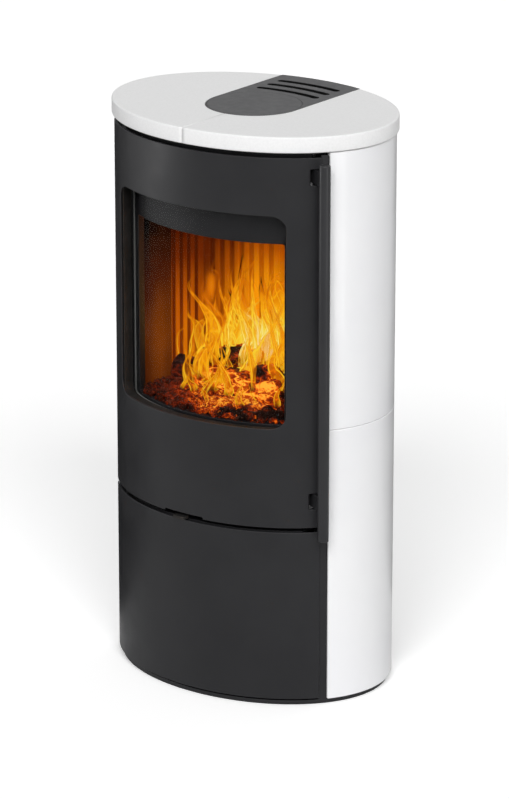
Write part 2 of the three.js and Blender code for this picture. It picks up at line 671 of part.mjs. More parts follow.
function makeTiles() {
  const group = new THREE.Group();
  const right = wallPlan(0, TILE_THICKNESS, TILE_FRONT_ANGLE, TILE_REAR_ANGLE);
  const bottom = BODY_BOTTOM + THIN_SHEET + SEAT;
  const halves = [
    ['lower', bottom, TILE_JOINT_HEIGHT - PANEL_GAP / 2],
    ['upper', TILE_JOINT_HEIGHT + PANEL_GAP / 2, SLAB_BOTTOM - TILE_TOP_GAP],
  ];
  for (const [level, z0, z1] of halves) {
    group.add(piece(`tile_right_${level}`, prism(right, z0, z1), ceramic));
    group.add(piece(`tile_left_${level}`, prism(mirrored(right), z0, z1), ceramic));
  }
  return group;
}

/** Plan of the cover in the top: a half round towards the front, straight sides to the slab's rear edge. */
function coverPlan(grow) {
  const radius = COVER_RADIUS + grow;
  const plan = [];
  for (let i = 0; i <= ROUND_SIDES; i += 1) {
    const angle = Math.PI + (Math.PI * i) / ROUND_SIDES;
    plan.push(new THREE.Vector2(radius * Math.cos(angle), radius * Math.sin(angle)));
  }
  const edge = SLAB_OVERHANG + grow;
  const corner = Math.asin(radius / (BODY_HALF_WIDTH + edge));
  const half = THREE.MathUtils.radToDeg(corner);
  return [...plan, ...arcPoints(-edge, REAR_MIDDLE - half, REAR_MIDDLE + half)];
}

function makeTop() {
  const group = new THREE.Group();
  const outline = new THREE.Shape(ellipsePlan(SLAB_EDGE_ROUNDING - SLAB_OVERHANG));
  const geometry = new THREE.ExtrudeGeometry(outline, {
    depth: SLAB_THICKNESS - 2 * SLAB_EDGE_ROUNDING,
    bevelThickness: SLAB_EDGE_ROUNDING,
    bevelSize: SLAB_EDGE_ROUNDING,
    bevelSegments: EDGE_SEGMENTS,
  });
  geometry.translate(0, 0, SLAB_BOTTOM + SLAB_EDGE_ROUNDING);
  const well = prism(coverPlan(COVER_GAP), SLAB_BOTTOM - OVERCUT, HEIGHT + OVERCUT);
  const behindWell = box(
    -COVER_RADIUS - COVER_GAP, COVER_RADIUS + COVER_GAP, BODY_HALF_DEPTH / 2, FAR, 0, FAR,
  );
  const slab = cut(solidOf(geometry), well, behindWell);
  const half = SLAB_SEAM / 2;
  group.add(piece('top_slab_right', slab.intersect(box(half, FAR, -FAR, FAR, 0, FAR)), stone));
  group.add(piece('top_slab_left', slab.intersect(box(-FAR, -half, -FAR, FAR, 0, FAR)), stone));
  group.add(piece('top_cover', topCover(), castGrey));
  return group;
}

/** The cover: a plate with a skirt that stands on the deck, a stepped seat for the lid, and three slots. */
function topCover() {
  const plan = coverPlan(0);
  const skirted = cut(
    prism(plan, SLAB_BOTTOM, HEIGHT),
    prism(insetPlan(plan, COVER_WALL), SLAB_BOTTOM - OVERCUT, HEIGHT - COVER_PLATE),
  );
  const ledgeTop = LID_BOTTOM - SEAT;
  const ringBottom = ledgeTop - LEDGE_THICKNESS;
  const ring = post(0, 0, LID_RECESS_RADIUS + LEDGE_WALL, ringBottom, HEIGHT, LARGE_ROUND_SIDES)
    .intersect(prism(plan, SLAB_BOTTOM, HEIGHT));
  let cover = cut(
    join(skirted, ring),
    post(0, 0, LID_RECESS_RADIUS, ledgeTop, HEIGHT + OVERCUT, LARGE_ROUND_SIDES),
    post(0, 0, LID_RECESS_RADIUS - LEDGE_WIDTH, SLAB_BOTTOM, HEIGHT + OVERCUT, LARGE_ROUND_SIDES),
  );
  const lastInset = BODY_HALF_DEPTH - LID_RECESS_RADIUS - LEDGE_WALL - SLOT_LID_GAP;
  for (let i = 0; i < SLOT_COUNT; i += 1) {
    const share = i / (SLOT_COUNT - 1);
    cover = cut(cover, coverSlot(THREE.MathUtils.lerp(SLOT_REAR_INSET, lastInset, share)));
  }
  return cover;
}

/** A curved slot with round ends, parallel to the rear edge. */
function coverSlot(inset) {
  const sweep = THREE.MathUtils.radToDeg(Math.asin(SLOT_HALF_LENGTH / (BODY_HALF_WIDTH - inset)));
  const reach = sweep * (1 - SLOT_WIDTH / 2 / SLOT_HALF_LENGTH);
  const ends = [REAR_MIDDLE - reach, REAR_MIDDLE + reach];
  const z0 = HEIGHT - COVER_PLATE - OVERCUT;
  const z1 = HEIGHT + OVERCUT;
  const rounds = ends.map((t) => {
    const centre = bodyPoint(inset, t);
    return post(centre.x, centre.y, SLOT_WIDTH / 2, z0, z1, PIN_SIDES);
  });
  return join(prism(wallPlan(inset - SLOT_WIDTH / 2, inset + SLOT_WIDTH / 2, ...ends), z0, z1), ...rounds);
}

function makeFlueLid() {
  const group = new THREE.Group();
  const profile = [
    new THREE.Vector2(0, 0),
    new THREE.Vector2(LID_RADIUS, 0),
    new THREE.Vector2(LID_RADIUS, LID_THICKNESS - LID_CHAMFER),
    new THREE.Vector2(LID_RADIUS - LID_CHAMFER, LID_THICKNESS),
    new THREE.Vector2(0, LID_THICKNESS),
  ];
  const lid = new THREE.LatheGeometry(profile, LARGE_ROUND_SIDES);
  lid.rotateX(Math.PI / 2);
  lid.translate(0, 0, LID_BOTTOM);
  group.add(piece('flue_lid', solidOf(lid), castGrey));
  return group;
}

/* ---- Firebox: front frame, casing, collar ---- */

/** Outer plan of the firebox casing, anticlockwise, open-ended towards the front. */
function casingPlan() {
  const half = [
    new THREE.Vector2(CASING_MOUTH_HALF_WIDTH, -BODY_HALF_DEPTH),
    new THREE.Vector2(CASING_MOUTH_HALF_WIDTH, CASING_MOUTH_REAR_Y),
    new THREE.Vector2(CASING_HALF_WIDTH, CASING_SHOULDER_Y),
    new THREE.Vector2(CASING_HALF_WIDTH, CASING_REAR_Y - CASING_CHAMFER_Y),
    new THREE.Vector2(CASING_HALF_WIDTH - CASING_CHAMFER_X, CASING_REAR_Y),
  ];
  return [...half, ...mirrored(half)];
}

/** A block that fills the casing's plan, less `inset`, up to `setback` behind the front frame. */
function casingBlock(inset, setback, z0, z1) {
  const front = prism(ellipsePlan(CASING_FRONT_INSET + setback), z0, z1);
  const rear = box(-FAR, FAR, CASING_MOUTH_REAR_Y - CASING_WALL, FAR, z0, z1);
  return prism(insetPlan(casingPlan(), inset), z0, z1).intersect(join(front, rear));
}

function makeFirebox() {
  const group = new THREE.Group();
  group.add(piece('fire_frame', fireFrame(), blackSteel));
  group.add(piece('firebox_casing', fireboxCasing(), bareSteel));
  group.add(piece('hearth_shelf', hearthShelf(), bareSteel));
  group.add(piece('casing_roof', casingRoof(), bareSteel));

  const rearSeat = CASING_REAR_Y + SEAT;
  const collarProfile = [
    new THREE.Vector2(FLUE_RADIUS - FLUE_WALL, rearSeat),
    new THREE.Vector2(FLUE_RADIUS + FLUE_FLANGE_WIDTH, rearSeat),
    new THREE.Vector2(FLUE_RADIUS + FLUE_FLANGE_WIDTH, rearSeat + FLANGE_THICKNESS),
    new THREE.Vector2(FLUE_RADIUS, rearSeat + FLANGE_THICKNESS),
    new THREE.Vector2(FLUE_RADIUS, REAR_COLLAR_Y),
    new THREE.Vector2(FLUE_RADIUS - FLUE_WALL, REAR_COLLAR_Y),
    new THREE.Vector2(FLUE_RADIUS - FLUE_WALL, rearSeat),
  ];
  const collar = new THREE.LatheGeometry(collarProfile, LARGE_ROUND_SIDES);
  collar.translate(0, 0, FLUE_HEIGHT);
  group.add(piece('flue_collar', solidOf(collar), castIron));

  const blankBottom = CASING_TOP + SEAT;
  const blankTop = blankBottom + BLANK_THICKNESS;
  const blank = post(0, 0, FLUE_RADIUS + BLANK_LAP, blankBottom, blankTop, LARGE_ROUND_SIDES);
  group.add(piece('top_outlet_blank', blank, castIron));
  for (const [i, level] of ['lower', 'upper'].entries()) {
    group.add(piece(`latch_catch_${level}`, latchCatch(FINGER_HEIGHTS[i]), bareSteel));
  }
  return group;
}

/** Curved frame that the door closes on, with the fire opening and the ash pan's opening. */
function fireFrame() {
  const rear = FIRE_FRAME_INSET + FIRE_FRAME_THICKNESS;
  const wall = frontWall(FIRE_FRAME_INSET, rear, FIRE_FRAME_HALF_WIDTH, FIRE_FRAME_BOTTOM, FIRE_FRAME_TOP);
  const fire = roundedRectangle(-FIRE_HALF_WIDTH, FIRE_HALF_WIDTH, FIRE_BOTTOM, FIRE_TOP, FIRE_CORNER);
  const reach = ASH_HALF_WIDTH + ASH_OPENING_MARGIN;
  const ash = roundedRectangle(-reach, reach, ASH_BOTTOM - SEAT, ASH_TOP + ASH_OPENING_MARGIN, FIRE_CORNER);
  return cut(wall, frontPrism(fire), frontPrism(ash));
}

/** Walls and floor of the firebox, open to the frame, with the flue's hole and the air box's port. */
function fireboxCasing() {
  const airPort = box(
    -AIR_PORT_HALF_WIDTH, AIR_PORT_HALF_WIDTH, AIR_PORT_FRONT_Y, AIR_PORT_REAR_Y,
    CASING_BOTTOM - OVERCUT, CASING_BOTTOM + CASING_WALL + OVERCUT,
  );
  return cut(
    casingBlock(0, 0, CASING_BOTTOM, ROOF_BOTTOM - SEAT),
    prism(insetPlan(casingPlan(), CASING_WALL), CASING_BOTTOM + CASING_WALL, CASING_TOP),
    airPort,
    drum(0, FLUE_HEIGHT, FLUE_RADIUS - FLUE_WALL, 0, FAR),
  );
}

/** Plate between the casing's walls that carries the hearth, with the hole that ash falls through. */
function hearthShelf() {
  const ashFall = box(
    GRATE_LEDGE - GRATE_HALF_WIDTH, GRATE_HALF_WIDTH - GRATE_LEDGE,
    GRATE_FRONT_Y + GRATE_LEDGE, GRATE_REAR_Y - GRATE_LEDGE,
    SHELF_TOP - CASING_WALL - OVERCUT, SHELF_TOP + OVERCUT,
  );
  return cut(casingBlock(LINING_INSET, 0, SHELF_TOP - CASING_WALL, SHELF_TOP), ashFall);
}

/** Top plate of the firebox, with the top outlet's hole. */
function casingRoof() {
  const outlet = post(
    0, 0, FLUE_RADIUS - FLUE_WALL, ROOF_BOTTOM - OVERCUT, CASING_TOP + OVERCUT, LARGE_ROUND_SIDES,
  );
  return cut(casingBlock(0, 0, ROOF_BOTTOM, CASING_TOP), outlet);
}

/** Catch plate on the casing's side, just beside the latch finger. */
function latchCatch(height) {
  const x0 = CASING_MOUTH_HALF_WIDTH + SEAT;
  const z0 = height - CATCH_TALL / 2;
  const blank = box(x0, x0 + CATCH_REACH, -BODY_HALF_DEPTH, CASING_MOUTH_REAR_Y, z0, z0 + CATCH_TALL);
  return blank.intersect(prism(ellipsePlan(CASING_FRONT_INSET), 0, HEIGHT));
}

/* ---- Lining, grate and baffle ---- */

/** The slope of the baffle, grown by `clearance`, as a slab across the firebox. */
function baffleSlab(clearance, thickness) {
  const geometry = new THREE.BoxGeometry(2 * BODY_HALF_WIDTH, 2 * BODY_HALF_WIDTH, thickness);
  geometry.translate(0, 0, thickness / 2 - clearance);
  geometry.rotateX(-THREE.MathUtils.degToRad(BAFFLE_TILT));
  geometry.translate(0, 0, BAFFLE_HEIGHT);
  return solidOf(geometry);
}

/** Flutes cut into a brick's face, a trapezoid each, at an even pitch between two places. */
function fluteCutters(from, to, place) {
  const count = Math.floor((to - from) / FLUTE_PITCH);
  const start = (from + to - (count - 1) * FLUTE_PITCH) / 2;
  const cutters = [];
  for (let i = 0; i < count; i += 1) {
    const centre = start + i * FLUTE_PITCH;
    const plan = [
      place(centre - FLUTE_MOUTH_WIDTH / 2, 0),
      place(centre - FLUTE_WIDTH / 2, FLUTE_DEPTH),
      place(centre + FLUTE_WIDTH / 2, FLUTE_DEPTH),
      place(centre + FLUTE_MOUTH_WIDTH / 2, 0),
      place(centre + FLUTE_MOUTH_WIDTH / 2, -OVERCUT),
      place(centre - FLUTE_MOUTH_WIDTH / 2, -OVERCUT),
    ];
    cutters.push(prism(plan, 0, HEIGHT));
  }
  return cutters;
}

function makeLining() {
  const group = new THREE.Group();
  const wallBottom = HEARTH_TOP + SEAT;
  const lining = casingBlock(LINING_INSET, SEAT, wallBottom, ROOF_BOTTOM);
  const underBaffle = cut(lining, baffleSlab(SEAT, HEIGHT));
  const sides = [['left', -1], ['right', 1]];
  for (const [side, sign] of sides) {
    const inX = (x0, x1) => (sign > 0 ? [x0, x1] : [-x1, -x0]);
    const cheek = box(...inX(FIRE_HALF_WIDTH, FAR), CHEEK_FRONT_Y, CHEEK_REAR_Y, 0, FAR);
    group.add(piece(`cheek_${side}`, underBaffle.intersect(cheek), vermiculite));

    const sideFront = CHEEK_REAR_Y + SEAT;
    const sideRear = BACK_BRICK_FACE_Y - SEAT;
    const sideBox = box(...inX(SIDE_BRICK_FACE_X, FAR), sideFront, sideRear, 0, FAR);
    const place = (along, depth) => new THREE.Vector2(sign * (SIDE_BRICK_FACE_X + depth), along);
    const sideBrick = cut(underBaffle.intersect(sideBox), ...fluteCutters(sideFront, sideRear, place));
    group.add(piece(`side_brick_${side}`, sideBrick, vermiculite));

    const backBox = box(...inX(SEAT, FAR), BACK_BRICK_FACE_Y, FAR, 0, FAR);
    const backPlace = (along, depth) => new THREE.Vector2(sign * along, BACK_BRICK_FACE_Y + depth);
    const backBrick = cut(
      underBaffle.intersect(backBox), ...fluteCutters(0, SIDE_BRICK_FACE_X, backPlace),
    );
    group.add(piece(`back_brick_${side}`, backBrick, vermiculite));

    const slope = baffleSlab(0, BAFFLE_THICKNESS);
    const baffleBox = box(...inX(SEAT, FAR), BAFFLE_FRONT_Y, FAR, 0, FAR);
    const baffle = casingBlock(LINING_INSET, SEAT, wallBottom, ROOF_BOTTOM - CASING_WALL);
    group.add(piece(`baffle_${side}`, baffle.intersect(slope).intersect(baffleBox), vermiculite));

    const hearth = casingBlock(LINING_INSET, SEAT, HEARTH_BOTTOM, HEARTH_TOP);
    const hearthBox = box(...inX(SEAT, FAR), -FAR, FAR, 0, FAR);
    const grateHole = box(
      -GRATE_HALF_WIDTH - RUNNING, GRATE_HALF_WIDTH + RUNNING,
      GRATE_FRONT_Y - RUNNING, GRATE_REAR_Y + RUNNING, 0, FAR,
    );
    group.add(piece(`hearth_brick_${side}`, cut(hearth.intersect(hearthBox), grateHole), vermiculite));
  }
  group.add(piece('grate', grate(), castIron));
  group.add(piece('log_guard', logGuard(), castIron));
  return group;
}

/** Cast grate: a slotted plate on a rim that stands on the hearth shelf. */
function grate() {
  const outer = box(
    -GRATE_HALF_WIDTH, GRATE_HALF_WIDTH, GRATE_FRONT_Y, GRATE_REAR_Y, HEARTH_BOTTOM, HEARTH_TOP,
  );
  const inner = box(
    GRATE_RIM - GRATE_HALF_WIDTH, GRATE_HALF_WIDTH - GRATE_RIM,
    GRATE_FRONT_Y + GRATE_RIM, GRATE_REAR_Y - GRATE_RIM,
    HEARTH_BOTTOM - OVERCUT, HEARTH_TOP - GRATE_PLATE,
  );
  const pitch = (2 * GRATE_HALF_WIDTH - 2 * GRATE_LEDGE) / GRATE_SLOTS;
  const slots = [];
  for (let i = 0; i < GRATE_SLOTS; i += 1) {
    const x = (i - (GRATE_SLOTS - 1) / 2) * pitch;
    slots.push(box(
      x - GRATE_SLOT_WIDTH / 2, x + GRATE_SLOT_WIDTH / 2,
      GRATE_FRONT_Y + GRATE_BORDER, GRATE_REAR_Y - GRATE_BORDER, HEARTH_BOTTOM, FAR,
    ));
  }
  return cut(outer, inner, ...slots);
}

/** Curved rail that keeps the logs off the glass, with a row of slots. */
function logGuard() {
  const z0 = HEARTH_TOP + SEAT;
  const rear = GUARD_INSET + GUARD_THICKNESS;
  const rail = frontWall(GUARD_INSET, rear, FIRE_HALF_WIDTH - GUARD_SIDE_GAP, z0, z0 + GUARD_TALL);
  const slots = [];
  for (let i = 0; i < GUARD_SLOT_COUNT; i += 1) {
    const t = (i - (GUARD_SLOT_COUNT - 1) / 2) * GUARD_SLOT_PITCH;
    const ends = [t - GUARD_SLOT_HALF_SWEEP, t + GUARD_SLOT_HALF_SWEEP];
    const slot = wallPlan(GUARD_INSET - OVERCUT, rear + OVERCUT, ...ends);
    slots.push(prism(slot, z0 + GUARD_BORDER, z0 + GUARD_TALL - GUARD_BORDER));
  }
  return cut(rail, ...slots);
}

/* ---- Air supply ---- */

function makeAirSupply() {
  const group = new THREE.Group();
  const wall = INLET_WALL;
  const boxBottom = DECK_TOP + SEAT;
  const airBox = cut(
    box(-AIR_BOX_HALF_WIDTH, AIR_BOX_HALF_WIDTH, AIR_BOX_FRONT_Y, AIR_BOX_REAR_Y, boxBottom, AIR_BOX_TOP),
    box(
      wall - AIR_BOX_HALF_WIDTH, AIR_BOX_HALF_WIDTH - wall, AIR_BOX_FRONT_Y + wall, AIR_BOX_REAR_Y - wall,
      boxBottom - OVERCUT, AIR_BOX_TOP - wall,
    ),
    box(
      -AIR_PORT_HALF_WIDTH, AIR_PORT_HALF_WIDTH, AIR_PORT_FRONT_Y, AIR_PORT_REAR_Y,
      AIR_BOX_TOP - wall - OVERCUT, AIR_BOX_TOP + OVERCUT,
    ),
    ...portCutters(),
  );
  group.add(piece('air_box', airBox, bareSteel));

  const ductTop = DECK_BOTTOM - SEAT;
  const duct = cut(
    box(-DUCT_HALF_WIDTH, DUCT_HALF_WIDTH, DUCT_FRONT_Y, DUCT_REAR_Y, DUCT_BOTTOM, ductTop),
    box(
      wall - DUCT_HALF_WIDTH, DUCT_HALF_WIDTH - wall, DUCT_FRONT_Y + wall, DUCT_REAR_Y - wall,
      DUCT_BOTTOM + wall, ductTop + OVERCUT,
    ),
    drum(0, INLET_HEIGHT, INLET_RADIUS - wall, (DUCT_FRONT_Y + DUCT_REAR_Y) / 2, FAR),
  );
  group.add(piece('air_duct', duct, bareSteel));

  const seat = DUCT_REAR_Y + SEAT;
  const profile = [
    new THREE.Vector2(INLET_RADIUS - wall, seat),
    new THREE.Vector2(INLET_FLANGE_RADIUS, seat),
    new THREE.Vector2(INLET_FLANGE_RADIUS, seat + wall),
    new THREE.Vector2(INLET_RADIUS, seat + wall),
    new THREE.Vector2(INLET_RADIUS, REAR_COLLAR_Y),
    new THREE.Vector2(INLET_RADIUS - wall, REAR_COLLAR_Y),
    new THREE.Vector2(INLET_RADIUS - wall, seat),
  ];
  const inlet = new THREE.LatheGeometry(profile, LARGE_ROUND_SIDES);
  inlet.translate(0, 0, INLET_HEIGHT);
  group.add(piece('air_inlet_collar', solidOf(inlet), bareSteel));
  return group;
}

/** The row of ports that the air slide opens and closes. */
function portCutters() {
  const bottom = DECK_TOP + PORT_RISE;
  const cutters = [];
  for (let i = 0; i < PORT_COUNT; i += 1) {
    const x = (i - (PORT_COUNT - 1) / 2) * PORT_PITCH;
    cutters.push(box(
      x - PORT_WIDTH / 2, x + PORT_WIDTH / 2, 2 * AIR_BOX_FRONT_Y, AIR_BOX_FRONT_Y + 2 * INLET_WALL,
      bottom, bottom + PORT_TALL,
    ));
  }
  return cutters;
}

function makeAirSlide() {
  const group = new THREE.Group();
  const rear = AIR_BOX_FRONT_Y - SEAT;
  const front = rear - FRAME_SHEET;
  const halfWidth = AIR_BOX_HALF_WIDTH - SLIDE_SIDE_GAP;
  const plate = box(-halfWidth, halfWidth, front, rear, DECK_TOP + SEAT, AIR_BOX_TOP - SLIDE_TOP_GAP);
  const leverFront = -BODY_HALF_DEPTH - LEVER_REACH;
  const leverBottom = DECK_TOP + LEVER_RISE;
  const leverTop = leverBottom + LEVER_THICKNESS;
  const neck = box(
    LEVER_X - LEVER_WIDTH / 2, LEVER_X + LEVER_WIDTH / 2, leverFront + LEVER_TAB_LENGTH / 2, rear,
    leverBottom, leverTop,
  );
  const tab = prism(roundedRectangle(
    LEVER_X - LEVER_TAB_WIDTH / 2, LEVER_X + LEVER_TAB_WIDTH / 2,
    leverFront, leverFront + LEVER_TAB_LENGTH, LEVER_TAB_CORNER,
  ), leverBottom, leverTop);
  group.add(piece('air_slide', join(cut(plate, ...portCutters()), neck, tab), bareSteel));
  return group;
}

/* ---- Hinges ---- */

/** Root half of a lift-off hinge: a lug on an arm from the hinge post, with its pin. */
function hingeBracket(height) {
  const { x, y } = HINGE_AXIS;
  const top = height - SEAT;
  const bottom = top - LUG_HEIGHT;
  const arm = box(
    x - KNUCKLE_RADIUS + LUG_STEP, x + KNUCKLE_RADIUS, y, POST_PLATE_FRONT - SEAT, bottom, top,
  );
  return join(
    post(x, y, KNUCKLE_RADIUS, bottom, top, PIN_SIDES),
    arm,
    post(x, y, PIN_RADIUS, bottom + LUG_HEIGHT / 2, height + BARREL_HEIGHT + PIN_TIP, PIN_SIDES),
  );
}

/** Door half of the hinge: a barrel on a leaf that reaches the inner frame's side at x = -endX. */
function hingeLeaf(height, endX) {
  const { x, y } = HINGE_AXIS;
  const top = height + BARREL_HEIGHT;
  const leaf = prism(barPlan(x, y, -endX, frontY(LEAF_INSET, endX), LEAF_THICKNESS), height, top);
  return cut(
    join(post(x, y, KNUCKLE_RADIUS, height, top, PIN_SIDES), leaf),
    post(x, y, PIN_RADIUS + RUNNING, height - OVERCUT, top + OVERCUT, PIN_SIDES),
    box(-endX, 0, -FAR, 0, 0, FAR),
  );
}

function makeHingeBrackets() {
  const group = new THREE.Group();
  for (const [i, level] of ['lower', 'upper'].entries()) {
    group.add(piece(`door_hinge_bracket_${level}`, hingeBracket(DOOR_HINGE_HEIGHTS[i]), bareSteel));
    group.add(piece(`panel_hinge_bracket_${level}`, hingeBracket(LOWER_HINGE_HEIGHTS[i]), bareSteel));
  }
  return group;
}

/* ---- Fire door ---- */

function makeDoor() {
  const group = new THREE.Group();
  const windowShape = roundedRectangle(
    -WINDOW_HALF_WIDTH, WINDOW_HALF_WIDTH, WINDOW_BOTTOM, WINDOW_TOP, WINDOW_CORNER,
  );
  let skin = cut(
    prism(wallPlan(0, DOOR_SKIN, -DOOR_HALF_ANGLE, DOOR_HALF_ANGLE), DOOR_BOTTOM, DOOR_TOP),
    frontPrism(windowShape),
    box(NOTCH_LEFT, NOTCH_RIGHT, -FAR, 0, DOOR_BOTTOM - OVERCUT, DOOR_BOTTOM + NOTCH_DEPTH),
  );
  for (const height of ARM_HEIGHTS) {
    const reach = ARM_TALL / 2 + ARM_NOTCH_CLEARANCE;
    const ends = [DOOR_HALF_ANGLE - ARM_NOTCH_SWEEP, DOOR_HALF_ANGLE + OVERCUT];
    const notch = wallPlan(-OVERCUT, DOOR_SKIN + OVERCUT, ...ends);
    skin = cut(skin, prism(notch, height - reach, height + reach));
  }
  group.add(piece('door_skin', skin, blackSteel));
  group.add(piece('door_inner_frame', doorInnerFrame(), castIron));

  const pane = frontWall(
    GLASS_INSET, GLASS_INSET + GLASS_THICKNESS, GLASS_HALF_WIDTH, GLASS_BOTTOM, GLASS_TOP,
  );
  group.add(piece('door_glass', pane, glass));

  const ropeTop = GLASS_TOP - FRAME_SHEET;
  const rope = frontWall(
    GASKET_INSET, GASKET_INSET + GASKET_THICKNESS, GLASS_HALF_WIDTH, GLASS_BOTTOM, ropeTop,
  );
  const inside = frontPrism(roundedRectangle(
    GASKET_WIDTH - GLASS_HALF_WIDTH, GLASS_HALF_WIDTH - GASKET_WIDTH,
    GLASS_BOTTOM + GASKET_WIDTH, ropeTop - GASKET_WIDTH, FIRE_CORNER,
  ));
  group.add(piece('door_gasket', cut(rope, inside), sealRope));

  group.add(piece('glass_retainer_top', glassRetainer(GLASS_TOP, 1), bareSteel));
  group.add(piece('glass_retainer_bottom', glassRetainer(GLASS_BOTTOM, -1), bareSteel));

  const seatX = DOOR_FRAME_HALF_WIDTH + SEAT;
  const bracketHeights = [
    ARM_HEIGHTS[0] - ARM_TALL / 2 - SEAT - SHAFT_BRACKET_THICKNESS,
    ARM_HEIGHTS[1] + ARM_TALL / 2 + SEAT,
  ];
  for (const [i, level] of ['lower', 'upper'].entries()) {
    group.add(piece(`door_hinge_${level}`, hingeLeaf(DOOR_HINGE_HEIGHTS[i], seatX), bareSteel));
    group.add(piece(`shaft_bracket_${level}`, shaftBracket(bracketHeights[i], seatX), bareSteel));
  }
  return group;
}

/** Pressed tray behind the skin: a rear sheet, with a flange round its edge and round the window. */
function doorInnerFrame() {
  const front = DOOR_SKIN + SEAT;
  const z0 = DOOR_BOTTOM + DOOR_FRAME_MARGIN;
  const z1 = DOOR_TOP - DOOR_FRAME_MARGIN;
  const halfWidth = WINDOW_HALF_WIDTH - DOOR_FRAME_WINDOW_SETBACK;
  const windowBottom = WINDOW_BOTTOM - DOOR_FRAME_WINDOW_SETBACK;
  const windowTop = WINDOW_TOP + DOOR_FRAME_WINDOW_SETBACK;
  const tray = frontWall(front, DOOR_FRAME_REAR_INSET, DOOR_FRAME_HALF_WIDTH, z0, z1);
  const hollow = frontWall(
    front - OVERCUT, DOOR_FRAME_REAR_INSET - FRAME_SHEET, DOOR_FRAME_HALF_WIDTH - FRAME_SHEET,
    z0 + FRAME_SHEET, z1 - FRAME_SHEET,
  );
  const surround = frontPrism(roundedRectangle(
    -halfWidth - FRAME_SHEET, halfWidth + FRAME_SHEET,
    windowBottom - FRAME_SHEET, windowTop + FRAME_SHEET, WINDOW_CORNER,
  ));
  const window = frontPrism(roundedRectangle(
    -halfWidth, halfWidth, windowBottom, windowTop, WINDOW_CORNER - FRAME_SHEET,
  ));
  return cut(tray, hollow.subtract(surround), window);
}

/** Bar that clamps the glass's top or bottom edge: behind the edge, and beyond it on the frame. */
function glassRetainer(edge, direction) {
  const rear = GASKET_INSET + GASKET_THICKNESS;
  const near = edge + direction * SEAT;
  const end = edge + direction * RETAINER_HEIGHT;
  const bar = frontWall(GLASS_INSET, rear, RETAINER_HALF_WIDTH, Math.min(near, end), Math.max(near, end));
  if (direction < 0) return bar;
  const lap = edge - FRAME_SHEET + SEAT;
  return join(bar, frontWall(GASKET_INSET, rear, RETAINER_HALF_WIDTH, lap, end));
}

/** Bearing plate for the latch shaft, on the inner frame's side. */
function shaftBracket(z0, seatX) {
  const z1 = z0 + SHAFT_BRACKET_THICKNESS;
  return cut(
    join(
      post(SHAFT_X, SHAFT_Y, SHAFT_RADIUS + SHAFT_BRACKET_WALL, z0, z1),
      box(seatX, SHAFT_X, frontY(LEAF_INSET, seatX), SHAFT_Y, z0, z1),
    ),
    post(SHAFT_X, SHAFT_Y, SHAFT_RADIUS + RUNNING, z0 - OVERCUT, z1 + OVERCUT),
  );
}

/* ---- Handle with its latch shaft ---- */

function makeHandle() {
  const group = new THREE.Group();
  const barBottom = LOWER_DOOR_TOP - BAR_FOOT_DROP;
  const barTop = DOOR_TOP - BAR_HEAD_DROP;
  const profile = [
    new THREE.Vector2(0, barBottom),
    new THREE.Vector2(BAR_RADIUS - BAR_CHAMFER, barBottom),
    new THREE.Vector2(BAR_RADIUS, barBottom + BAR_CHAMFER),
    new THREE.Vector2(BAR_RADIUS, barTop - BAR_CHAMFER),
    new THREE.Vector2(BAR_RADIUS - BAR_CHAMFER, barTop),
    new THREE.Vector2(0, barTop),
  ];
  const bar = new THREE.LatheGeometry(profile, ROUND_SIDES);
  bar.rotateX(Math.PI / 2);
  bar.translate(BAR_X, BAR_Y, 0);
  group.add(piece('handle_bar', solidOf(bar), blackSteel));

  for (const [i, level] of ['lower', 'upper'].entries()) {
    const z0 = ARM_HEIGHTS[i] - ARM_TALL / 2;
    const z1 = z0 + ARM_TALL;
    const arm = cut(
      join(
        prism(barPlan(SHAFT_X, SHAFT_Y, BAR_X, BAR_Y, ARM_WIDTH), z0, z1),
        post(SHAFT_X, SHAFT_Y, SHAFT_BOSS_RADIUS, z0, z1),
      ),
      post(SHAFT_X, SHAFT_Y, SHAFT_RADIUS + SEAT, z0 - OVERCUT, z1 + OVERCUT),
      post(BAR_X, BAR_Y, BAR_RADIUS + SEAT, z0 - OVERCUT, z1 + OVERCUT),
    );
    group.add(piece(`handle_arm_${level}`, arm, blackSteel));
  }

  const shaftBottom = ARM_HEIGHTS[0] - ARM_TALL / 2 - SHAFT_OVERRUN;
  const shaftTop = ARM_HEIGHTS[1] + ARM_TALL / 2 + SHAFT_OVERRUN;
  let shaft = post(SHAFT_X, SHAFT_Y, SHAFT_RADIUS, shaftBottom, shaftTop, PIN_SIDES);
  const tipX = SHAFT_X - FINGER_REACH_X;
  const tipY = SHAFT_Y + FINGER_REACH_Y;
  for (const height of FINGER_HEIGHTS) {
    const z0 = height - FINGER_TALL / 2;
    const z1 = z0 + FINGER_TALL;
    shaft = join(
      shaft,
      prism(barPlan(SHAFT_X, SHAFT_Y, tipX, tipY, FINGER_THICKNESS), z0, z1),
      post(SHAFT_X, SHAFT_Y, SHAFT_BOSS_RADIUS, z0, z1, PIN_SIDES),
    );
  }
  group.add(piece('latch_shaft', shaft, bareSteel));
  return group;
}

/* ---- Lower compartment door ---- */

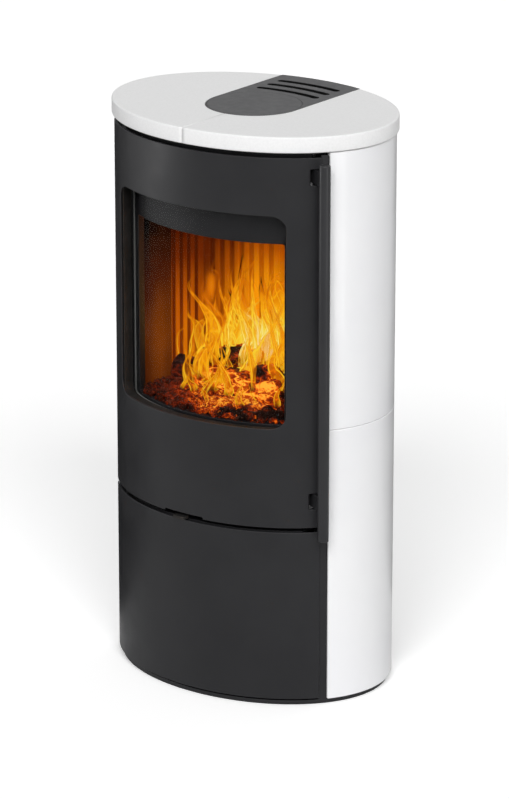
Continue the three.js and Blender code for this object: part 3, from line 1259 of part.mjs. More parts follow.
function makeLowerDoor() {
  const group = new THREE.Group();
  const skin = prism(
    wallPlan(0, LOWER_SKIN, -DOOR_HALF_ANGLE, DOOR_HALF_ANGLE), LOWER_DOOR_BOTTOM, LOWER_DOOR_TOP,
  );
  group.add(piece('lower_door_panel', skin, blackSteel));

  const front = LOWER_SKIN + SEAT;
  const z0 = LOWER_DOOR_BOTTOM + LOWER_FRAME_MARGIN;
  const z1 = LOWER_DOOR_TOP - LOWER_FRAME_MARGIN;
  const rear = front + LOWER_FRAME_DEPTH;
  const hollow = frontWall(
    front - OVERCUT, rear - FRAME_SHEET, DOOR_FRAME_HALF_WIDTH - FRAME_SHEET,
    z0 + FRAME_SHEET, z1 - FRAME_SHEET,
  );
  const leaves = LOWER_HINGE_HEIGHTS.map((height) => hingeLeaf(height, DOOR_FRAME_HALF_WIDTH - LEAF_BITE));
  const frame = join(cut(frontWall(front, rear, DOOR_FRAME_HALF_WIDTH, z0, z1), hollow), ...leaves);
  group.add(piece('lower_door_frame', frame, castIron));
  return group;
}

/* ---- Ash pan ---- */

function makeAshPan() {
  const group = new THREE.Group();
  const outer = roundedRectangle(-ASH_HALF_WIDTH, ASH_HALF_WIDTH, ASH_FRONT_Y, ASH_REAR_Y, ASH_CORNER);
  const inner = roundedRectangle(
    ASH_WALL - ASH_HALF_WIDTH, ASH_HALF_WIDTH - ASH_WALL, ASH_FRONT_Y + ASH_WALL, ASH_REAR_Y - ASH_WALL,
    ASH_CORNER - ASH_WALL,
  );
  const pan = cut(prism(outer, ASH_BOTTOM, ASH_TOP), prism(inner, ASH_BOTTOM + ASH_WALL, ASH_TOP + OVERCUT));
  const gripFront = ASH_FRONT_Y - ASH_GRIP_REACH;
  const grip = join(
    box(
      -ASH_GRIP_HALF_WIDTH, ASH_GRIP_HALF_WIDTH, gripFront, ASH_FRONT_Y + ASH_WALL / 2,
      ASH_TOP - ASH_WALL, ASH_TOP,
    ),
    box(
      -ASH_GRIP_HALF_WIDTH, ASH_GRIP_HALF_WIDTH, gripFront, gripFront + ASH_WALL,
      ASH_TOP - ASH_GRIP_TALL, ASH_TOP,
    ),
  );
  group.add(piece('ash_pan', join(pan, grip), bareSteel));
  return group;
}

const group = new THREE.Group();
group.add(
  makeCarcass(),
  makeTiles(),
  makeTop(),
  makeFirebox(),
  makeLining(),
  makeAirSupply(),
  makeHingeBrackets(),
  makeDoor(),
  makeHandle(),
  makeLowerDoor(),
  makeAshPan(),
  makeAirSlide(),
  makeFlueLid(),
);

export default group;
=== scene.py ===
"""Tiled stove with a curved glazed door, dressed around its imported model.

Metres, +Z up. The front faces -Y and the floor is at z = 0. Curved walls are set out on the body's ellipse:
by an inset from its surface, and by a turn in degrees that starts at the middle of the front and is positive
towards the right side.
"""

import logging
import math
import random
from dataclasses import dataclass
from enum import Enum
from typing import Callable, Sequence

import bmesh
import bpy
from mathutils import Matrix, Vector, noise


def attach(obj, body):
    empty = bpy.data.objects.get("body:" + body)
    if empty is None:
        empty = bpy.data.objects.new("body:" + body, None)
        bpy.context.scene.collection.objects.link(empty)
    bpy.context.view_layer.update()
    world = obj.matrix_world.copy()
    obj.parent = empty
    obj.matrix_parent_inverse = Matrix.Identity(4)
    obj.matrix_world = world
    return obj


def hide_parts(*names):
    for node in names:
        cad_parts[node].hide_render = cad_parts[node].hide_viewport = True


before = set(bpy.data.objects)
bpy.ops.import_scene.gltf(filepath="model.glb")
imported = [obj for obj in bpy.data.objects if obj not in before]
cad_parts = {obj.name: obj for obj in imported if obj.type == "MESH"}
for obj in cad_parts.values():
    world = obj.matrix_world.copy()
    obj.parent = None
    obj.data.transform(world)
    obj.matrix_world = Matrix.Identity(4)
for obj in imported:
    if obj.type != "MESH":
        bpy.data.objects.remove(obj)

LOG = logging.getLogger("tiled_stove")

Pair = tuple[float, float]
Triple = tuple[float, float, float]
Outline = list[Pair]
Socket = bpy.types.NodeSocket

MERGE = 1e-6
HEIGHT = 1.041
SLAB_BOTTOM = 1.0125


class Body(Enum):
    """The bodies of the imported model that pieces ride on."""

    ROOT = "root"
    DOOR = "door"
    HANDLE = "handle"
    LOWER_DOOR = "lower_door"
    LID = "lid"


class Slot(Enum):
    """The record's material slots."""

    BLACK_STEEL = "black_steel"
    CAST_GREY = "cast_grey"
    CAST_BLACK = "cast_black"
    TILE = "tile"
    STONE = "stone"
    SHEET_STEEL = "sheet_steel"
    FIRE_BRICK = "fire_brick"
    GLASS = "glass"
    SEAL_ROPE = "seal_rope"


# ---- Setting out ----


@dataclass(frozen=True)
class BodyPlan:
    """The ellipse that the stove's curved walls are set out on.

    Args:
        half_width: Half of the body's width.
        half_depth: Half of the body's depth.
    """

    half_width: float = 0.2693
    half_depth: float = 0.2032

    def point(self, inset: float, turn: float) -> Pair:
        """Returns the plan point at an inset and a turn in degrees."""
        angle = math.radians(turn)
        return (self.half_width - inset) * math.sin(angle), -(self.half_depth - inset) * math.cos(angle)

    def arc(self, inset: float, start: float, end: float, step: float = 1.5) -> Outline:
        """Returns plan points between two turns.

        Args:
            inset: Distance in from the body's surface.
            start: First turn in degrees.
            end: Last turn in degrees.
            step: Largest turn between two points.

        Returns:
            The points, both ends included.
        """
        count = max(1, math.ceil(abs(end - start) / step))
        return [self.point(inset, start + (end - start) * i / count) for i in range(count + 1)]

    def front(self, inset: float, x: float) -> float:
        """Returns y on the front half of the ellipse at an inset and an x."""
        share = min(1.0, (x / (self.half_width - inset)) ** 2)
        return -(self.half_depth - inset) * math.sqrt(1 - share)


PLAN = BodyPlan()
DOOR_TURN = 57.0
DOOR_EDGE = PLAN.point(0, DOOR_TURN)


class Bend:
    """Maps a flat sheet, drawn as along and height, to its place on the stove."""

    def at(self, along: float, height: float, depth: float) -> Vector:
        """Returns the place of a point of the flat sheet."""
        raise NotImplementedError

    def outward(self, along: float, height: float, depth: float) -> Vector:
        """Returns the direction out of the sheet's outer face at a point."""
        reach = 1e-4
        across = self.at(along + reach, height, depth) - self.at(along - reach, height, depth)
        inward = self.at(along, height, depth + reach) - self.at(along, height, depth)
        normal = across.cross(Vector((0, 0, 1))).normalized()
        return -normal if normal.dot(inward) > 0 else normal


@dataclass(frozen=True)
class FaceBend(Bend):
    """Bend for a sheet whose distance along is x, on the front of the stove or on its back.

    Args:
        inset: Inset of the sheet's outer face.
        straight: Half-width in which x is the same through the thickness.
        edge: Half-width at which the sheet's ends stand square to the surface.
        rear: True on the back of the stove.
    """

    inset: float
    straight: float = math.inf
    edge: float = math.inf
    rear: bool = False

    def at(self, along: float, height: float, depth: float) -> Vector:
        """Returns the place of a point of the flat sheet."""
        x = along
        if abs(along) > self.straight:
            share = (abs(along) - self.straight) / (self.edge - self.straight)
            x *= 1 - share * depth / (PLAN.half_width - self.inset)
        y = PLAN.front(self.inset + depth, x)
        return Vector((-x, -y, height)) if self.rear else Vector((x, y, height))


@dataclass(frozen=True)
class SideBend(Bend):
    """Bend for a sheet on the stove's side, measured along its outer face from its front end.

    Args:
        start: Turn of the front end.
        end: Turn of the rear end.
        left: True on the left side.
        inset: Inset of the outer face.
    """

    start: float
    end: float
    left: bool = False
    inset: float = 0.0

    def stations(self) -> list[Pair]:
        """Returns pairs of length along the face and turn."""
        steps = 240
        turns = [self.start + (self.end - self.start) * i / steps for i in range(steps + 1)]
        points = [Vector(PLAN.point(self.inset, turn)) for turn in turns]
        table = [(0.0, turns[0])]
        for i in range(steps):
            table.append((table[-1][0] + (points[i + 1] - points[i]).length, turns[i + 1]))
        return table

    def length(self) -> float:
        """Returns the length of the outer face."""
        return _table_of(self)[-1][0]

    def at(self, along: float, height: float, depth: float) -> Vector:
        """Returns the place of a point of the flat sheet."""
        x, y = PLAN.point(self.inset + depth, self.turn_at(along / self.length()))
        return Vector((-x, y, height)) if self.left else Vector((x, y, height))

    def turn_at(self, share: float) -> float:
        """Returns the turn at a share of the length."""
        table = _table_of(self)
        target = share * table[-1][0]
        place = min(max(share, 0.0), 1.0) * (len(table) - 1)
        low = max(0, min(len(table) - 2, int(place)))
        while low > 0 and table[low][0] > target:
            low -= 1
        while low < len(table) - 2 and table[low + 1][0] < target:
            low += 1
        (length, turn), (next_length, next_turn) = table[low], table[low + 1]
        return turn + (next_turn - turn) * (target - length) / (next_length - length)


_TABLES: dict[SideBend, list[Pair]] = {}


def _table_of(bend: SideBend) -> list[Pair]:
    """Returns a side bend's stations, kept after the first call."""
    if bend not in _TABLES:
        _TABLES[bend] = bend.stations()
    return _TABLES[bend]


def rounded(corners: Sequence[Triple], steps: int = 8) -> Outline:
    """Rounds the corners of a closed outline.

    Args:
        corners: Corner points, each with its rounding radius.
        steps: Segments in each rounding.

    Returns:
        The outline's points.
    """
    points: Outline = []
    count = len(corners)
    for i, (x, y, radius) in enumerate(corners):
        here = Vector((x, y))
        before = (Vector(corners[i - 1][:2]) - here).normalized()
        after = (Vector(corners[(i + 1) % count][:2]) - here).normalized()
        if radius <= 0:
            points.append((x, y))
            continue
        half = before.angle(after) / 2
        centre = here + (before + after).normalized() * (radius / math.sin(half))
        start = here + before * (radius / math.tan(half)) - centre
        end = here + after * (radius / math.tan(half)) - centre
        sweep = start.angle_signed(end)
        for step in range(steps + 1):
            spoke = start.copy()
            spoke.rotate(Matrix.Rotation(-sweep * step / steps, 2))
            points.append(tuple(centre + spoke))
    return points


def rectangle(left: float, right: float, bottom: float, top: float, radius: float = 0.0) -> Outline:
    """Returns the outline of a rectangle with rounded corners."""
    corners = [(left, bottom, radius), (right, bottom, radius), (right, top, radius), (left, top, radius)]
    return rounded(corners)


def circle(centre: Pair, radius: float, sides: int = 96) -> Outline:
    """Returns the outline of a circle."""
    turns = [math.tau * i / sides for i in range(sides)]
    return [(centre[0] + radius * math.cos(a), centre[1] + radius * math.sin(a)) for a in turns]


def inset_outline(outline: Outline, margins: Sequence[float]) -> Outline:
    """Moves each edge of an anticlockwise outline inwards.

    Args:
        outline: The closed outline.
        margins: For each point, how far the edge that starts there moves.

    Returns:
        The corners of the moved edges.
    """
    result: Outline = []
    for i, corner in enumerate(outline):
        here = Vector(corner)
        arriving = (here - Vector(outline[i - 1])).normalized()
        leaving = (Vector(outline[(i + 1) % len(outline)]) - here).normalized()
        first, second = margins[i - 1], margins[i]
        turn = arriving.cross(leaving)
        if abs(turn) < 0.2:
            normal = Vector((-arriving.y - leaving.y, arriving.x + leaving.x)).normalized()
            moved = here + normal * (first + second) / 2
        else:
            moved = here + (leaving * first - arriving * second) / turn
        result.append((moved.x, moved.y))
    return result


# ---- Meshes ----


def settle(name: str, work: bmesh.types.BMesh, crease: float = 32.0) -> bpy.types.Mesh:
    """Turns a closed bmesh into a smooth-shaded mesh whose faces point outwards.

    Args:
        name: The mesh's name.
        work: The bmesh, which is freed.
        crease: Angle in degrees from which an edge stays sharp.

    Returns:
        The mesh.
    """
    bmesh.ops.remove_doubles(work, verts=work.verts, dist=MERGE)
    bmesh.ops.recalc_face_normals(work, faces=work.faces)
    mesh = bpy.data.meshes.new(name)
    work.to_mesh(mesh)
    work.free()
    mesh.shade_smooth()
    mesh.set_sharp_from_angle(angle=math.radians(crease))
    return mesh


def plate(name: str, outlines: Sequence[Outline], bottom: float, top: float, edge: float) -> bpy.types.Mesh:
    """Makes a flat plate with rounded edges.

    Args:
        name: The mesh's name.
        outlines: The outer outline and those of the holes.
        bottom: Height of the underside.
        top: Height of the upper face.
        edge: Radius of the edges.

    Returns:
        The mesh.
    """
    curve = bpy.data.curves.new(name, "CURVE")
    curve.dimensions = "2D"
    curve.fill_mode = "BOTH"
    curve.extrude = (top - bottom) / 2 - edge
    curve.bevel_depth = edge
    curve.bevel_resolution = 2
    curve.offset = -edge
    for outline in outlines:
        spline = curve.splines.new("POLY")
        spline.points.add(len(outline) - 1)
        for point, (x, y) in zip(spline.points, outline):
            point.co = (x, y, 0, 1)
        spline.use_cyclic_u = True
    holder = bpy.data.objects.new(name, curve)
    bpy.context.scene.collection.objects.link(holder)
    graph = bpy.context.evaluated_depsgraph_get()
    raw = bpy.data.meshes.new_from_object(holder.evaluated_get(graph))
    bpy.data.objects.remove(holder)
    bpy.data.curves.remove(curve)
    work = bmesh.new()
    work.from_mesh(raw)
    bpy.data.meshes.remove(raw)
    bmesh.ops.translate(work, vec=(0, 0, (bottom + top) / 2), verts=work.verts)
    mesh = settle(name, work)
    flatten_caps(mesh, lambda v: Vector((0, 0, 1)) if v.z > top - MERGE else
                 Vector((0, 0, -1)) if v.z < bottom + MERGE else Vector())
    return mesh


def flatten_caps(mesh: bpy.types.Mesh, normal_of: Callable[[Vector], Vector]) -> None:
    """Gives chosen vertices an exact normal.

    Args:
        mesh: The mesh.
        normal_of: The normal at a vertex, or a zero vector where it stays as it is.
    """
    normals = [normal_of(vertex.co) for vertex in mesh.vertices]
    mesh.normals_split_custom_set_from_vertices([tuple(normal) for normal in normals])


def bent(name: str, outlines: Sequence[Outline], thickness: float, edge: float, bend: Bend,
         pitch: float = 0.006) -> bpy.types.Mesh:
    """Makes a curved sheet with rounded edges.

    Args:
        name: The mesh's name.
        outlines: The outer outline and those of the holes, as distance along and height.
        thickness: The sheet's thickness.
        edge: Radius of the edges.
        bend: Where the flat sheet goes.
        pitch: Distance between the folds that follow the curve.

    Returns:
        The mesh.
    """
    flat = plate(name, outlines, 0, thickness, edge)
    work = bmesh.new()
    work.from_mesh(flat)
    bpy.data.meshes.remove(flat)
    left = min(v.co.x for v in work.verts)
    right = max(v.co.x for v in work.verts)
    count = math.ceil((right - left) / pitch)
    for i in range(1, count):
        place = (left + (right - left) * i / count, 0, 0)
        geometry = work.verts[:] + work.edges[:] + work.faces[:]
        bmesh.ops.bisect_plane(work, geom=geometry, dist=MERGE, plane_co=place, plane_no=(1, 0, 0))
    normals = {}
    for vertex in work.verts:
        along, height, depth = vertex.co
        place = bend.at(along, height, depth)
        side = 1 if depth < MERGE else -1 if depth > thickness - MERGE else 0
        normals[tuple(round(c, 6) for c in place)] = bend.outward(along, height, depth) * side
        vertex.co = place
    mesh = settle(name, work)
    flatten_caps(mesh, lambda v: normals.get(tuple(round(c, 6) for c in v), Vector()))
    return mesh


def loft(name: str, rings: Sequence[Sequence[Triple]], crease: float = 32.0) -> bpy.types.Mesh:
    """Makes a closed body through rings with equal numbers of points, capped at both ends.

    Args:
        name: The mesh's name.
        rings: The rings, in order.
        crease: Angle in degrees from which an edge stays sharp.

    Returns:
        The mesh.
    """
    work = bmesh.new()
    loops = [[work.verts.new(point) for point in ring] for ring in rings]
    size = len(loops[0])
    for lower, upper in zip(loops, loops[1:]):
        for i in range(size):
            j = (i + 1) % size
            work.faces.new((lower[i], lower[j], upper[j], upper[i]))
    work.faces.new(loops[0][::-1])
    work.faces.new(loops[-1])
    return settle(name, work, crease)


def turned(name: str, profile: Sequence[Pair], place: Callable[[float, float, float], Triple],
           sides: int = 64) -> bpy.types.Mesh:
    """Makes a body of revolution from a closed profile.

    Args:
        name: The mesh's name.
        profile: Pairs of radius and distance along the axis.
        place: Maps two coordinates across the axis and one along it to a point.
        sides: Number of sides.

    Returns:
        The mesh.
    """
    work = bmesh.new()
    rings = []
    for i in range(sides):
        angle = math.tau * i / sides
        rings.append([
            work.verts.new(place(radius * math.cos(angle), radius * math.sin(angle), along))
            for radius, along in profile
        ])
    for i in range(sides):
        ring, following = rings[i], rings[(i + 1) % sides]
        for j in range(len(profile)):
            k = (j + 1) % len(profile)
            work.faces.new((ring[j], following[j], following[k], ring[k]))
    bmesh.ops.dissolve_degenerate(work, dist=MERGE, edges=work.edges)
    return settle(name, work)


def joined(name: str, meshes: Sequence[bpy.types.Mesh]) -> bpy.types.Mesh:
    """Joins meshes into one and removes the parts.

    Args:
        name: The new mesh's name.
        meshes: The meshes to join.

    Returns:
        The joined mesh, with its parts' normals.
    """
    holders = [bpy.data.objects.new(mesh.name, mesh) for mesh in meshes]
    for holder in holders:
        bpy.context.scene.collection.objects.link(holder)
    with bpy.context.temp_override(active_object=holders[0], selected_editable_objects=holders):
        bpy.ops.object.join()
    result = holders[0].data
    bpy.data.objects.remove(holders[0])
    result.name = name
    return result


# ---- Finishes ----


Colour = tuple[float, float, float]


def linear(red: int, green: int, blue: int) -> Colour:
    """Returns a colour of 0 to 255 steps as linear light."""
    def decode(step: int) -> float:
        """Returns one channel as linear light."""
        share = step / 255
        return share / 12.92 if share <= 0.04045 else ((share + 0.055) / 1.055) ** 2.4
    return decode(red), decode(green), decode(blue)


class Nodes:
    """Adds and links the nodes of a tree.

    Args:
        tree: The node tree, which is emptied.
        prefix: Start of the type names of its nodes.
    """

    def __init__(self, tree: bpy.types.NodeTree, prefix: str = "") -> None:
        self.tree = tree
        self.prefix = prefix
        tree.nodes.clear()

    def add(self, kind: str, values: dict[object, object] | None = None,
            **settings: object) -> bpy.types.Node:
        """Adds a node.

        Args:
            kind: The node's type, without the prefix.
            values: Input values or sockets to link, by input name or number.
            settings: The node's own settings.

        Returns:
            The node.
        """
        node = self.tree.nodes.new(self.prefix + kind)
        for name, setting in settings.items():
            setattr(node, name, setting)
        for name, value in (values or {}).items():
            socket = node.inputs[name]
            if isinstance(value, Socket):
                self.tree.links.new(value, socket)
            else:
                socket.default_value = value
        return node


class Growth(Nodes):
    """Builds a Geometry Nodes tree.

    Args:
        name: The tree's name.
        inputs: Names of its inputs, each with the kind of its socket.
    """

    def __init__(self, name: str, inputs: dict[str, str]) -> None:
        super().__init__(bpy.data.node_groups.new(name, "GeometryNodeTree"))
        for label, kind in inputs.items():
            self.tree.interface.new_socket(label, in_out="INPUT", socket_type="NodeSocket" + kind)
        self.tree.interface.new_socket("Result", in_out="OUTPUT", socket_type="NodeSocketGeometry")
        self.given = self.add("NodeGroupInput").outputs

    def finish(self, instances: Socket) -> bpy.types.NodeTree:
        """Ends the tree: makes the instances real and gives them their finish."""
        real = self.add("GeometryNodeRealizeInstances", {0: instances}).outputs[0]
        paint = self.add("GeometryNodeSetMaterial", {"Geometry": real, "Material": self.given["Finish"]})
        self.add("NodeGroupOutput", {0: paint.outputs[0]})
        return self.tree


class Tree(Nodes):
    """Builds the nodes of a material or of the world.

    Args:
        owner: The material or world.
    """

    def __init__(self, owner: bpy.types.Material | bpy.types.World) -> None:
        owner.use_nodes = True
        super().__init__(owner.node_tree, "ShaderNode")
        self.owner = owner

    def place(self) -> Socket:
        """Returns the piece's own coordinates."""
        return self.add("TexCoord").outputs["Object"]

    def parts(self, vector: Socket) -> bpy.types.bpy_prop_collection:
        """Returns the three parts of a vector."""
        return self.add("SeparateXYZ", {0: vector}).outputs

    def distance(self, centre: Triple) -> Socket:
        """Returns the distance from a point."""
        return self.add("VectorMath", {0: self.place(), 1: centre}, operation="DISTANCE").outputs["Value"]

    def coordinates(self, stretch: Triple = (1, 1, 1)) -> Socket:
        """Returns the piece's own coordinates, stretched."""
        return self.add("Mapping", {"Vector": self.place(), "Scale": stretch}).outputs[0]

    def noise(self, scale: float, detail: float = 3, rough: float = 0.55, at: Socket | None = None,
              warp: float = 0.0) -> Socket:
        """Returns a noise value.

        Args:
            scale: Features per metre.
            detail: Number of finer layers.
            rough: Weight of the finer layers.
            at: Where it is read.
            warp: Distortion.

        Returns:
            The value's socket.
        """
        values = {"Scale": scale, "Detail": detail, "Roughness": rough, "Distortion": warp}
        values["Vector"] = at or self.coordinates()
        return self.add("TexNoise", values).outputs[0]

    def swirl(self, at: Socket, scale: float, reach: float) -> Socket:
        """Returns coordinates that a coarse noise has pushed about.

        Args:
            at: The coordinates.
            scale: Features of the noise per metre.
            reach: How far the noise pushes.

        Returns:
            The pushed coordinates.
        """
        push = self.add("TexNoise", {"Vector": at, "Scale": scale, "Detail": 1.5}).outputs["Color"]
        centred = self.add("VectorMath", {0: push, 1: (0.5, 0.5, 0.5)}, operation="SUBTRACT").outputs[0]
        scaled = self.add("VectorMath", {0: centred, "Scale": reach}, operation="SCALE").outputs[0]
        return self.add("VectorMath", {0: at, 1: scaled}, operation="ADD").outputs[0]

    def ridge(self, value: Socket, middle: Socket | float, width: float) -> Socket:
        """Returns 1 where a value meets its middle, falling to 0 at a width from it."""
        away = self.maths("ABSOLUTE", self.maths("SUBTRACT", value, middle))
        return self.span(away, 0.0, width, 1.0, 0.0)

    def span(self, value: Socket, low: float, high: float, start: float = 0.0, end: float = 1.0) -> Socket:
        """Returns a value mapped softly from low..high to start..end, and held there."""
        values = {0: value, 1: low, 2: high, 3: start, 4: end}
        return self.add("MapRange", values, interpolation_type="SMOOTHSTEP").outputs[0]

    def maths(self, operation: str, first: Socket | float, second: Socket | float = 0.0) -> Socket:
        """Returns the result of a sum on one or two values."""
        return self.add("Math", {0: first, 1: second}, operation=operation).outputs[0]

    def blend(self, share: Socket | float, first: Colour | Socket, second: Colour | Socket) -> Socket:
        """Returns a mix of two colours."""
        values = {"Factor": share}
        for name, colour in (("A", first), ("B", second)):
            values[name] = colour if isinstance(colour, Socket) else (*colour, 1.0)
        node = self.add("Mix", data_type="RGBA")
        sockets = {"Factor": node.inputs[0], "A": node.inputs[6], "B": node.inputs[7]}
        for name, value in values.items():
            if isinstance(value, Socket):
                self.tree.links.new(value, sockets[name])
            else:
                sockets[name].default_value = value
        return node.outputs[2]

    def ramp(self, value: Socket, stops: Sequence[tuple[float, Colour]]) -> Socket:
        """Returns a colour from a ramp of stops."""
        node = self.add("ValToRGB", {"Fac": value})
        elements = node.color_ramp.elements
        while len(elements) < len(stops):
            elements.new(0.5)
        for element, (place, colour) in zip(elements, stops):
            element.position = place
            element.color = (*colour, 1.0)
        return node.outputs["Color"]

    def relief(self, height: Socket, depth: float, under: Socket | None = None) -> Socket:
        """Returns a normal that follows a height, on top of another relief."""
        values = {"Height": height, "Distance": depth, "Strength": 1.0}
        if under is not None:
            values["Normal"] = under
        return self.add("Bump", values).outputs[0]

    def finish(self, **values: object) -> bpy.types.Material:
        """Ends the tree in a Principled shader.

        Args:
            values: Its inputs, with underscores for spaces.

        Returns:
            The material.
        """
        shader = self.add("BsdfPrincipled", {name.replace("_", " "): v for name, v in values.items()})
        self.add("OutputMaterial", {"Surface": shader.outputs[0]})
        return self.owner


# Reach of the lighter edges: worn finish and a painted edge highlight.
RUB_HIGHLIGHT_REACH = 0.0016


@dataclass(frozen=True)
class Finish:
    """A surface finish with a mottled colour, uneven gloss and a fine relief.

    Args:
        name: The material's name.
        colour: Main colour.
        shade: Colour of the mottling.
        rough: Lowest and highest roughness.
        patch: Mottling features per metre.
        grain: Relief features per metre.
        relief: Depth of the relief.
        metallic: How much of the surface is metal.
        specular: Specular level.
        coat: Weight of a clear glaze.
        rubbed_highlight_colour: Colour of the edges, where the finish is worn and a painted highlight
            lightens it.
        rubbing_and_highlight: How much the edges are worn and lightened with a painted highlight.
    """

    name: str
    colour: Colour
    shade: Colour
    rough: Pair = (0.4, 0.5)
    patch: float = 9.0
    grain: float = 900.0
    relief: float = 2e-5
    metallic: float = 0.0
    specular: float = 0.5
    coat: float = 0.0
    rubbed_highlight_colour: Colour = (0.2, 0.2, 0.2)
    rubbing_and_highlight: float = 0.0

    def material(self) -> bpy.types.Material:
        """Returns the finish's material, built once."""
        return bpy.data.materials.get(self.name) or self.build(Tree(bpy.data.materials.new(self.name)))

    def mottle(self, tree: Tree) -> Socket:
        """Returns the share of the second colour over the surface."""
        return tree.span(tree.noise(self.patch, 4), 0.35, 0.7)

    def height(self, tree: Tree) -> Socket:
        """Returns the relief's height over the surface."""
        return tree.noise(self.grain, 2, 0.6)

    def edges(self, tree: Tree) -> Socket:
        """Returns the share of edge wear and painted edge highlight, which follows the edges and is broken up
        by a noise.
        """
        soft = tree.add("Bevel", {"Radius": RUB_HIGHLIGHT_REACH}, samples=4).outputs[0]
        flat = tree.add("NewGeometry").outputs["Normal"]
        turn = tree.add("VectorMath", {0: soft, 1: flat}, operation="DOT_PRODUCT").outputs["Value"]
        broken = tree.span(tree.noise(110, 3, 0.7), 0.35, 0.65, 0.35, self.rubbing_and_highlight)
        return tree.maths("MULTIPLY", tree.span(turn, 0.8, 0.985, 1.0, 0.0), broken)

    def tint(self, tree: Tree) -> Socket:
        """Returns the colour over the surface."""
        colour = tree.blend(self.mottle(tree), self.colour, self.shade)
        # The edges lighten towards their own colour: partly wear, partly a painted highlight.
        return tree.blend(self.edges(tree), colour, self.rubbed_highlight_colour) if self.rubbing_and_highlight else colour

    def build(self, tree: Tree) -> bpy.types.Material:
        """Builds the material."""
        gloss = tree.span(tree.noise(self.patch * 2.3, 3), 0.3, 0.7, *self.rough)
        return tree.finish(
            Base_Color=self.tint(tree), Roughness=gloss, Metallic=self.metallic,
            Specular_IOR_Level=self.specular, Coat_Weight=self.coat, Coat_Roughness=0.06,
            Normal=tree.relief(self.height(tree), self.relief),
        )


@dataclass(frozen=True)
class Pane(Finish):
    """Glass with a faint haze of smoke.

    Args:
        clear: How much the glass hides what is behind it.
    """

    clear: float = 0.11

    def build(self, tree: Tree) -> bpy.types.Material:
        """Builds the material."""
        haze = tree.noise(6, 4, 0.6, warp=0.4)
        return tree.finish(
            Base_Color=tree.blend(haze, self.colour, self.shade),
            Roughness=tree.span(haze, 0.3, 0.8, *self.rough),
            Alpha=self.clear, Specular_IOR_Level=self.specular,
        )


@dataclass(frozen=True)
class FireLight(Finish):
    """Light of fire, brightest at the fire's heart.

    The piece's UV map named flame holds the distance from the edge and the rise, both from 0 to 1.

    Args:
        strength: Brightness of the light.
        dim: Colours of its two coolest stages.
        heart: Hottest place of the fire.
        core: Radius of the hottest place.
    """

    strength: float = 1.0
    dim: tuple[Colour, Colour] = ((0.4, 0.05, 0.001), (0.85, 0.2, 0.002))
    heart: Triple = (0.025, 0.0, 0.63)
    core: float = 0.02

    def spots(self, tree: Tree) -> tuple[Socket, Socket]:
        """Returns the distance from the edge and the rise."""
        parts = tree.parts(tree.add("UVMap", uv_map="flame").outputs[0])
        return parts[0], parts[1]

    def light(self, tree: Tree, heat: Socket, veil: Socket) -> bpy.types.Material:
        """Ends the material.

        Args:
            tree: The material's tree.
            heat: Heat over the surface, without the heart's.
            veil: How much the fire hides what is behind it.

        Returns:
            The material.
        """
        heat = tree.maths("ADD", heat, tree.span(tree.distance(self.heart), self.core, 0.12, 0.34, 0.0))
        colour = tree.ramp(heat, [
            (0.1, self.dim[0]), (0.36, self.dim[1]), (0.6, (1.0, 0.42, 0.005)), (0.82, (1.0, 0.7, 0.04)),
            (1.0, (1.0, 0.95, 0.5)),
        ])
        return tree.finish(
            Base_Color=(0, 0, 0, 1), Roughness=1.0, Specular_IOR_Level=0.0, Emission_Color=colour,
            Emission_Strength=self.strength, Alpha=veil,
        )


@dataclass(frozen=True)
class Flame(FireLight):
    """Sheet of flame: torn layers with bright hems, which thin out towards the tip.

    Args:
        solid: How much of the flame hides what is behind it.
        torn: Share of the sheet that is torn away at its foot and at its tip.
        warmth: Heat of the flame at its foot and at its tip.
        layers: Number of layers seen behind each other.
    """

    dim: tuple[Colour, Colour] = ((0.34, 0.05, 0.001), (0.8, 0.19, 0.002))
    heart: Triple = (0.03, 0.0, 0.63)
    core: float = 0.01
    solid: float = 0.92
    torn: Pair = (0.13, 0.57)
    warmth: Pair = (0.4, 0.1)
    layers: int = 3

    def build(self, tree: Tree) -> bpy.types.Material:
        """Builds the material."""
        edge, rise = self.spots(tree)
        tear = tree.span(rise, 0.0, 1.0, *self.torn)
        heat, veil = None, None
        for layer in range(self.layers):
            start = tree.add("Mapping", {
                "Vector": tree.place(), "Location": (0.31 * layer, 0.47 * layer, 0.2 * layer),
                "Scale": (1, 1, 0.42),
            }).outputs[0]
            licks = tree.noise(16 + 7 * layer, 1.5, 0.5, at=tree.swirl(tree.swirl(start, 8, 0.11), 24, 0.02))
            torn = tree.maths("ADD", tear, 0.07 * layer)
            body = tree.span(tree.maths("SUBTRACT", licks, torn), 0.0, 0.22)
            hem = tree.ridge(licks, tree.maths("ADD", torn, 0.04), 0.036)
            warmth = tree.maths("ADD", tree.maths("MULTIPLY", body, 0.22 + 0.06 * layer),
                                tree.maths("MULTIPLY", hem, 0.16 + 0.08 * layer))
            cover = tree.maths("MAXIMUM", tree.maths("MULTIPLY", body, self.solid),
                               tree.maths("MULTIPLY", hem, 0.8))
            heat = warmth if heat is None else tree.maths("MAXIMUM", heat, warmth)
            veil = cover if veil is None else tree.maths("MAXIMUM", veil, cover)
        heat = tree.maths("ADD", heat, tree.span(rise, 0.0, 0.9, *self.warmth))
        veil = tree.maths("MULTIPLY", veil, tree.span(edge, 0.0, 0.5))
        return self.light(tree, heat, tree.maths("MULTIPLY", veil, tree.span(rise, 0.6, 1.0, 1.0, 0.0)))


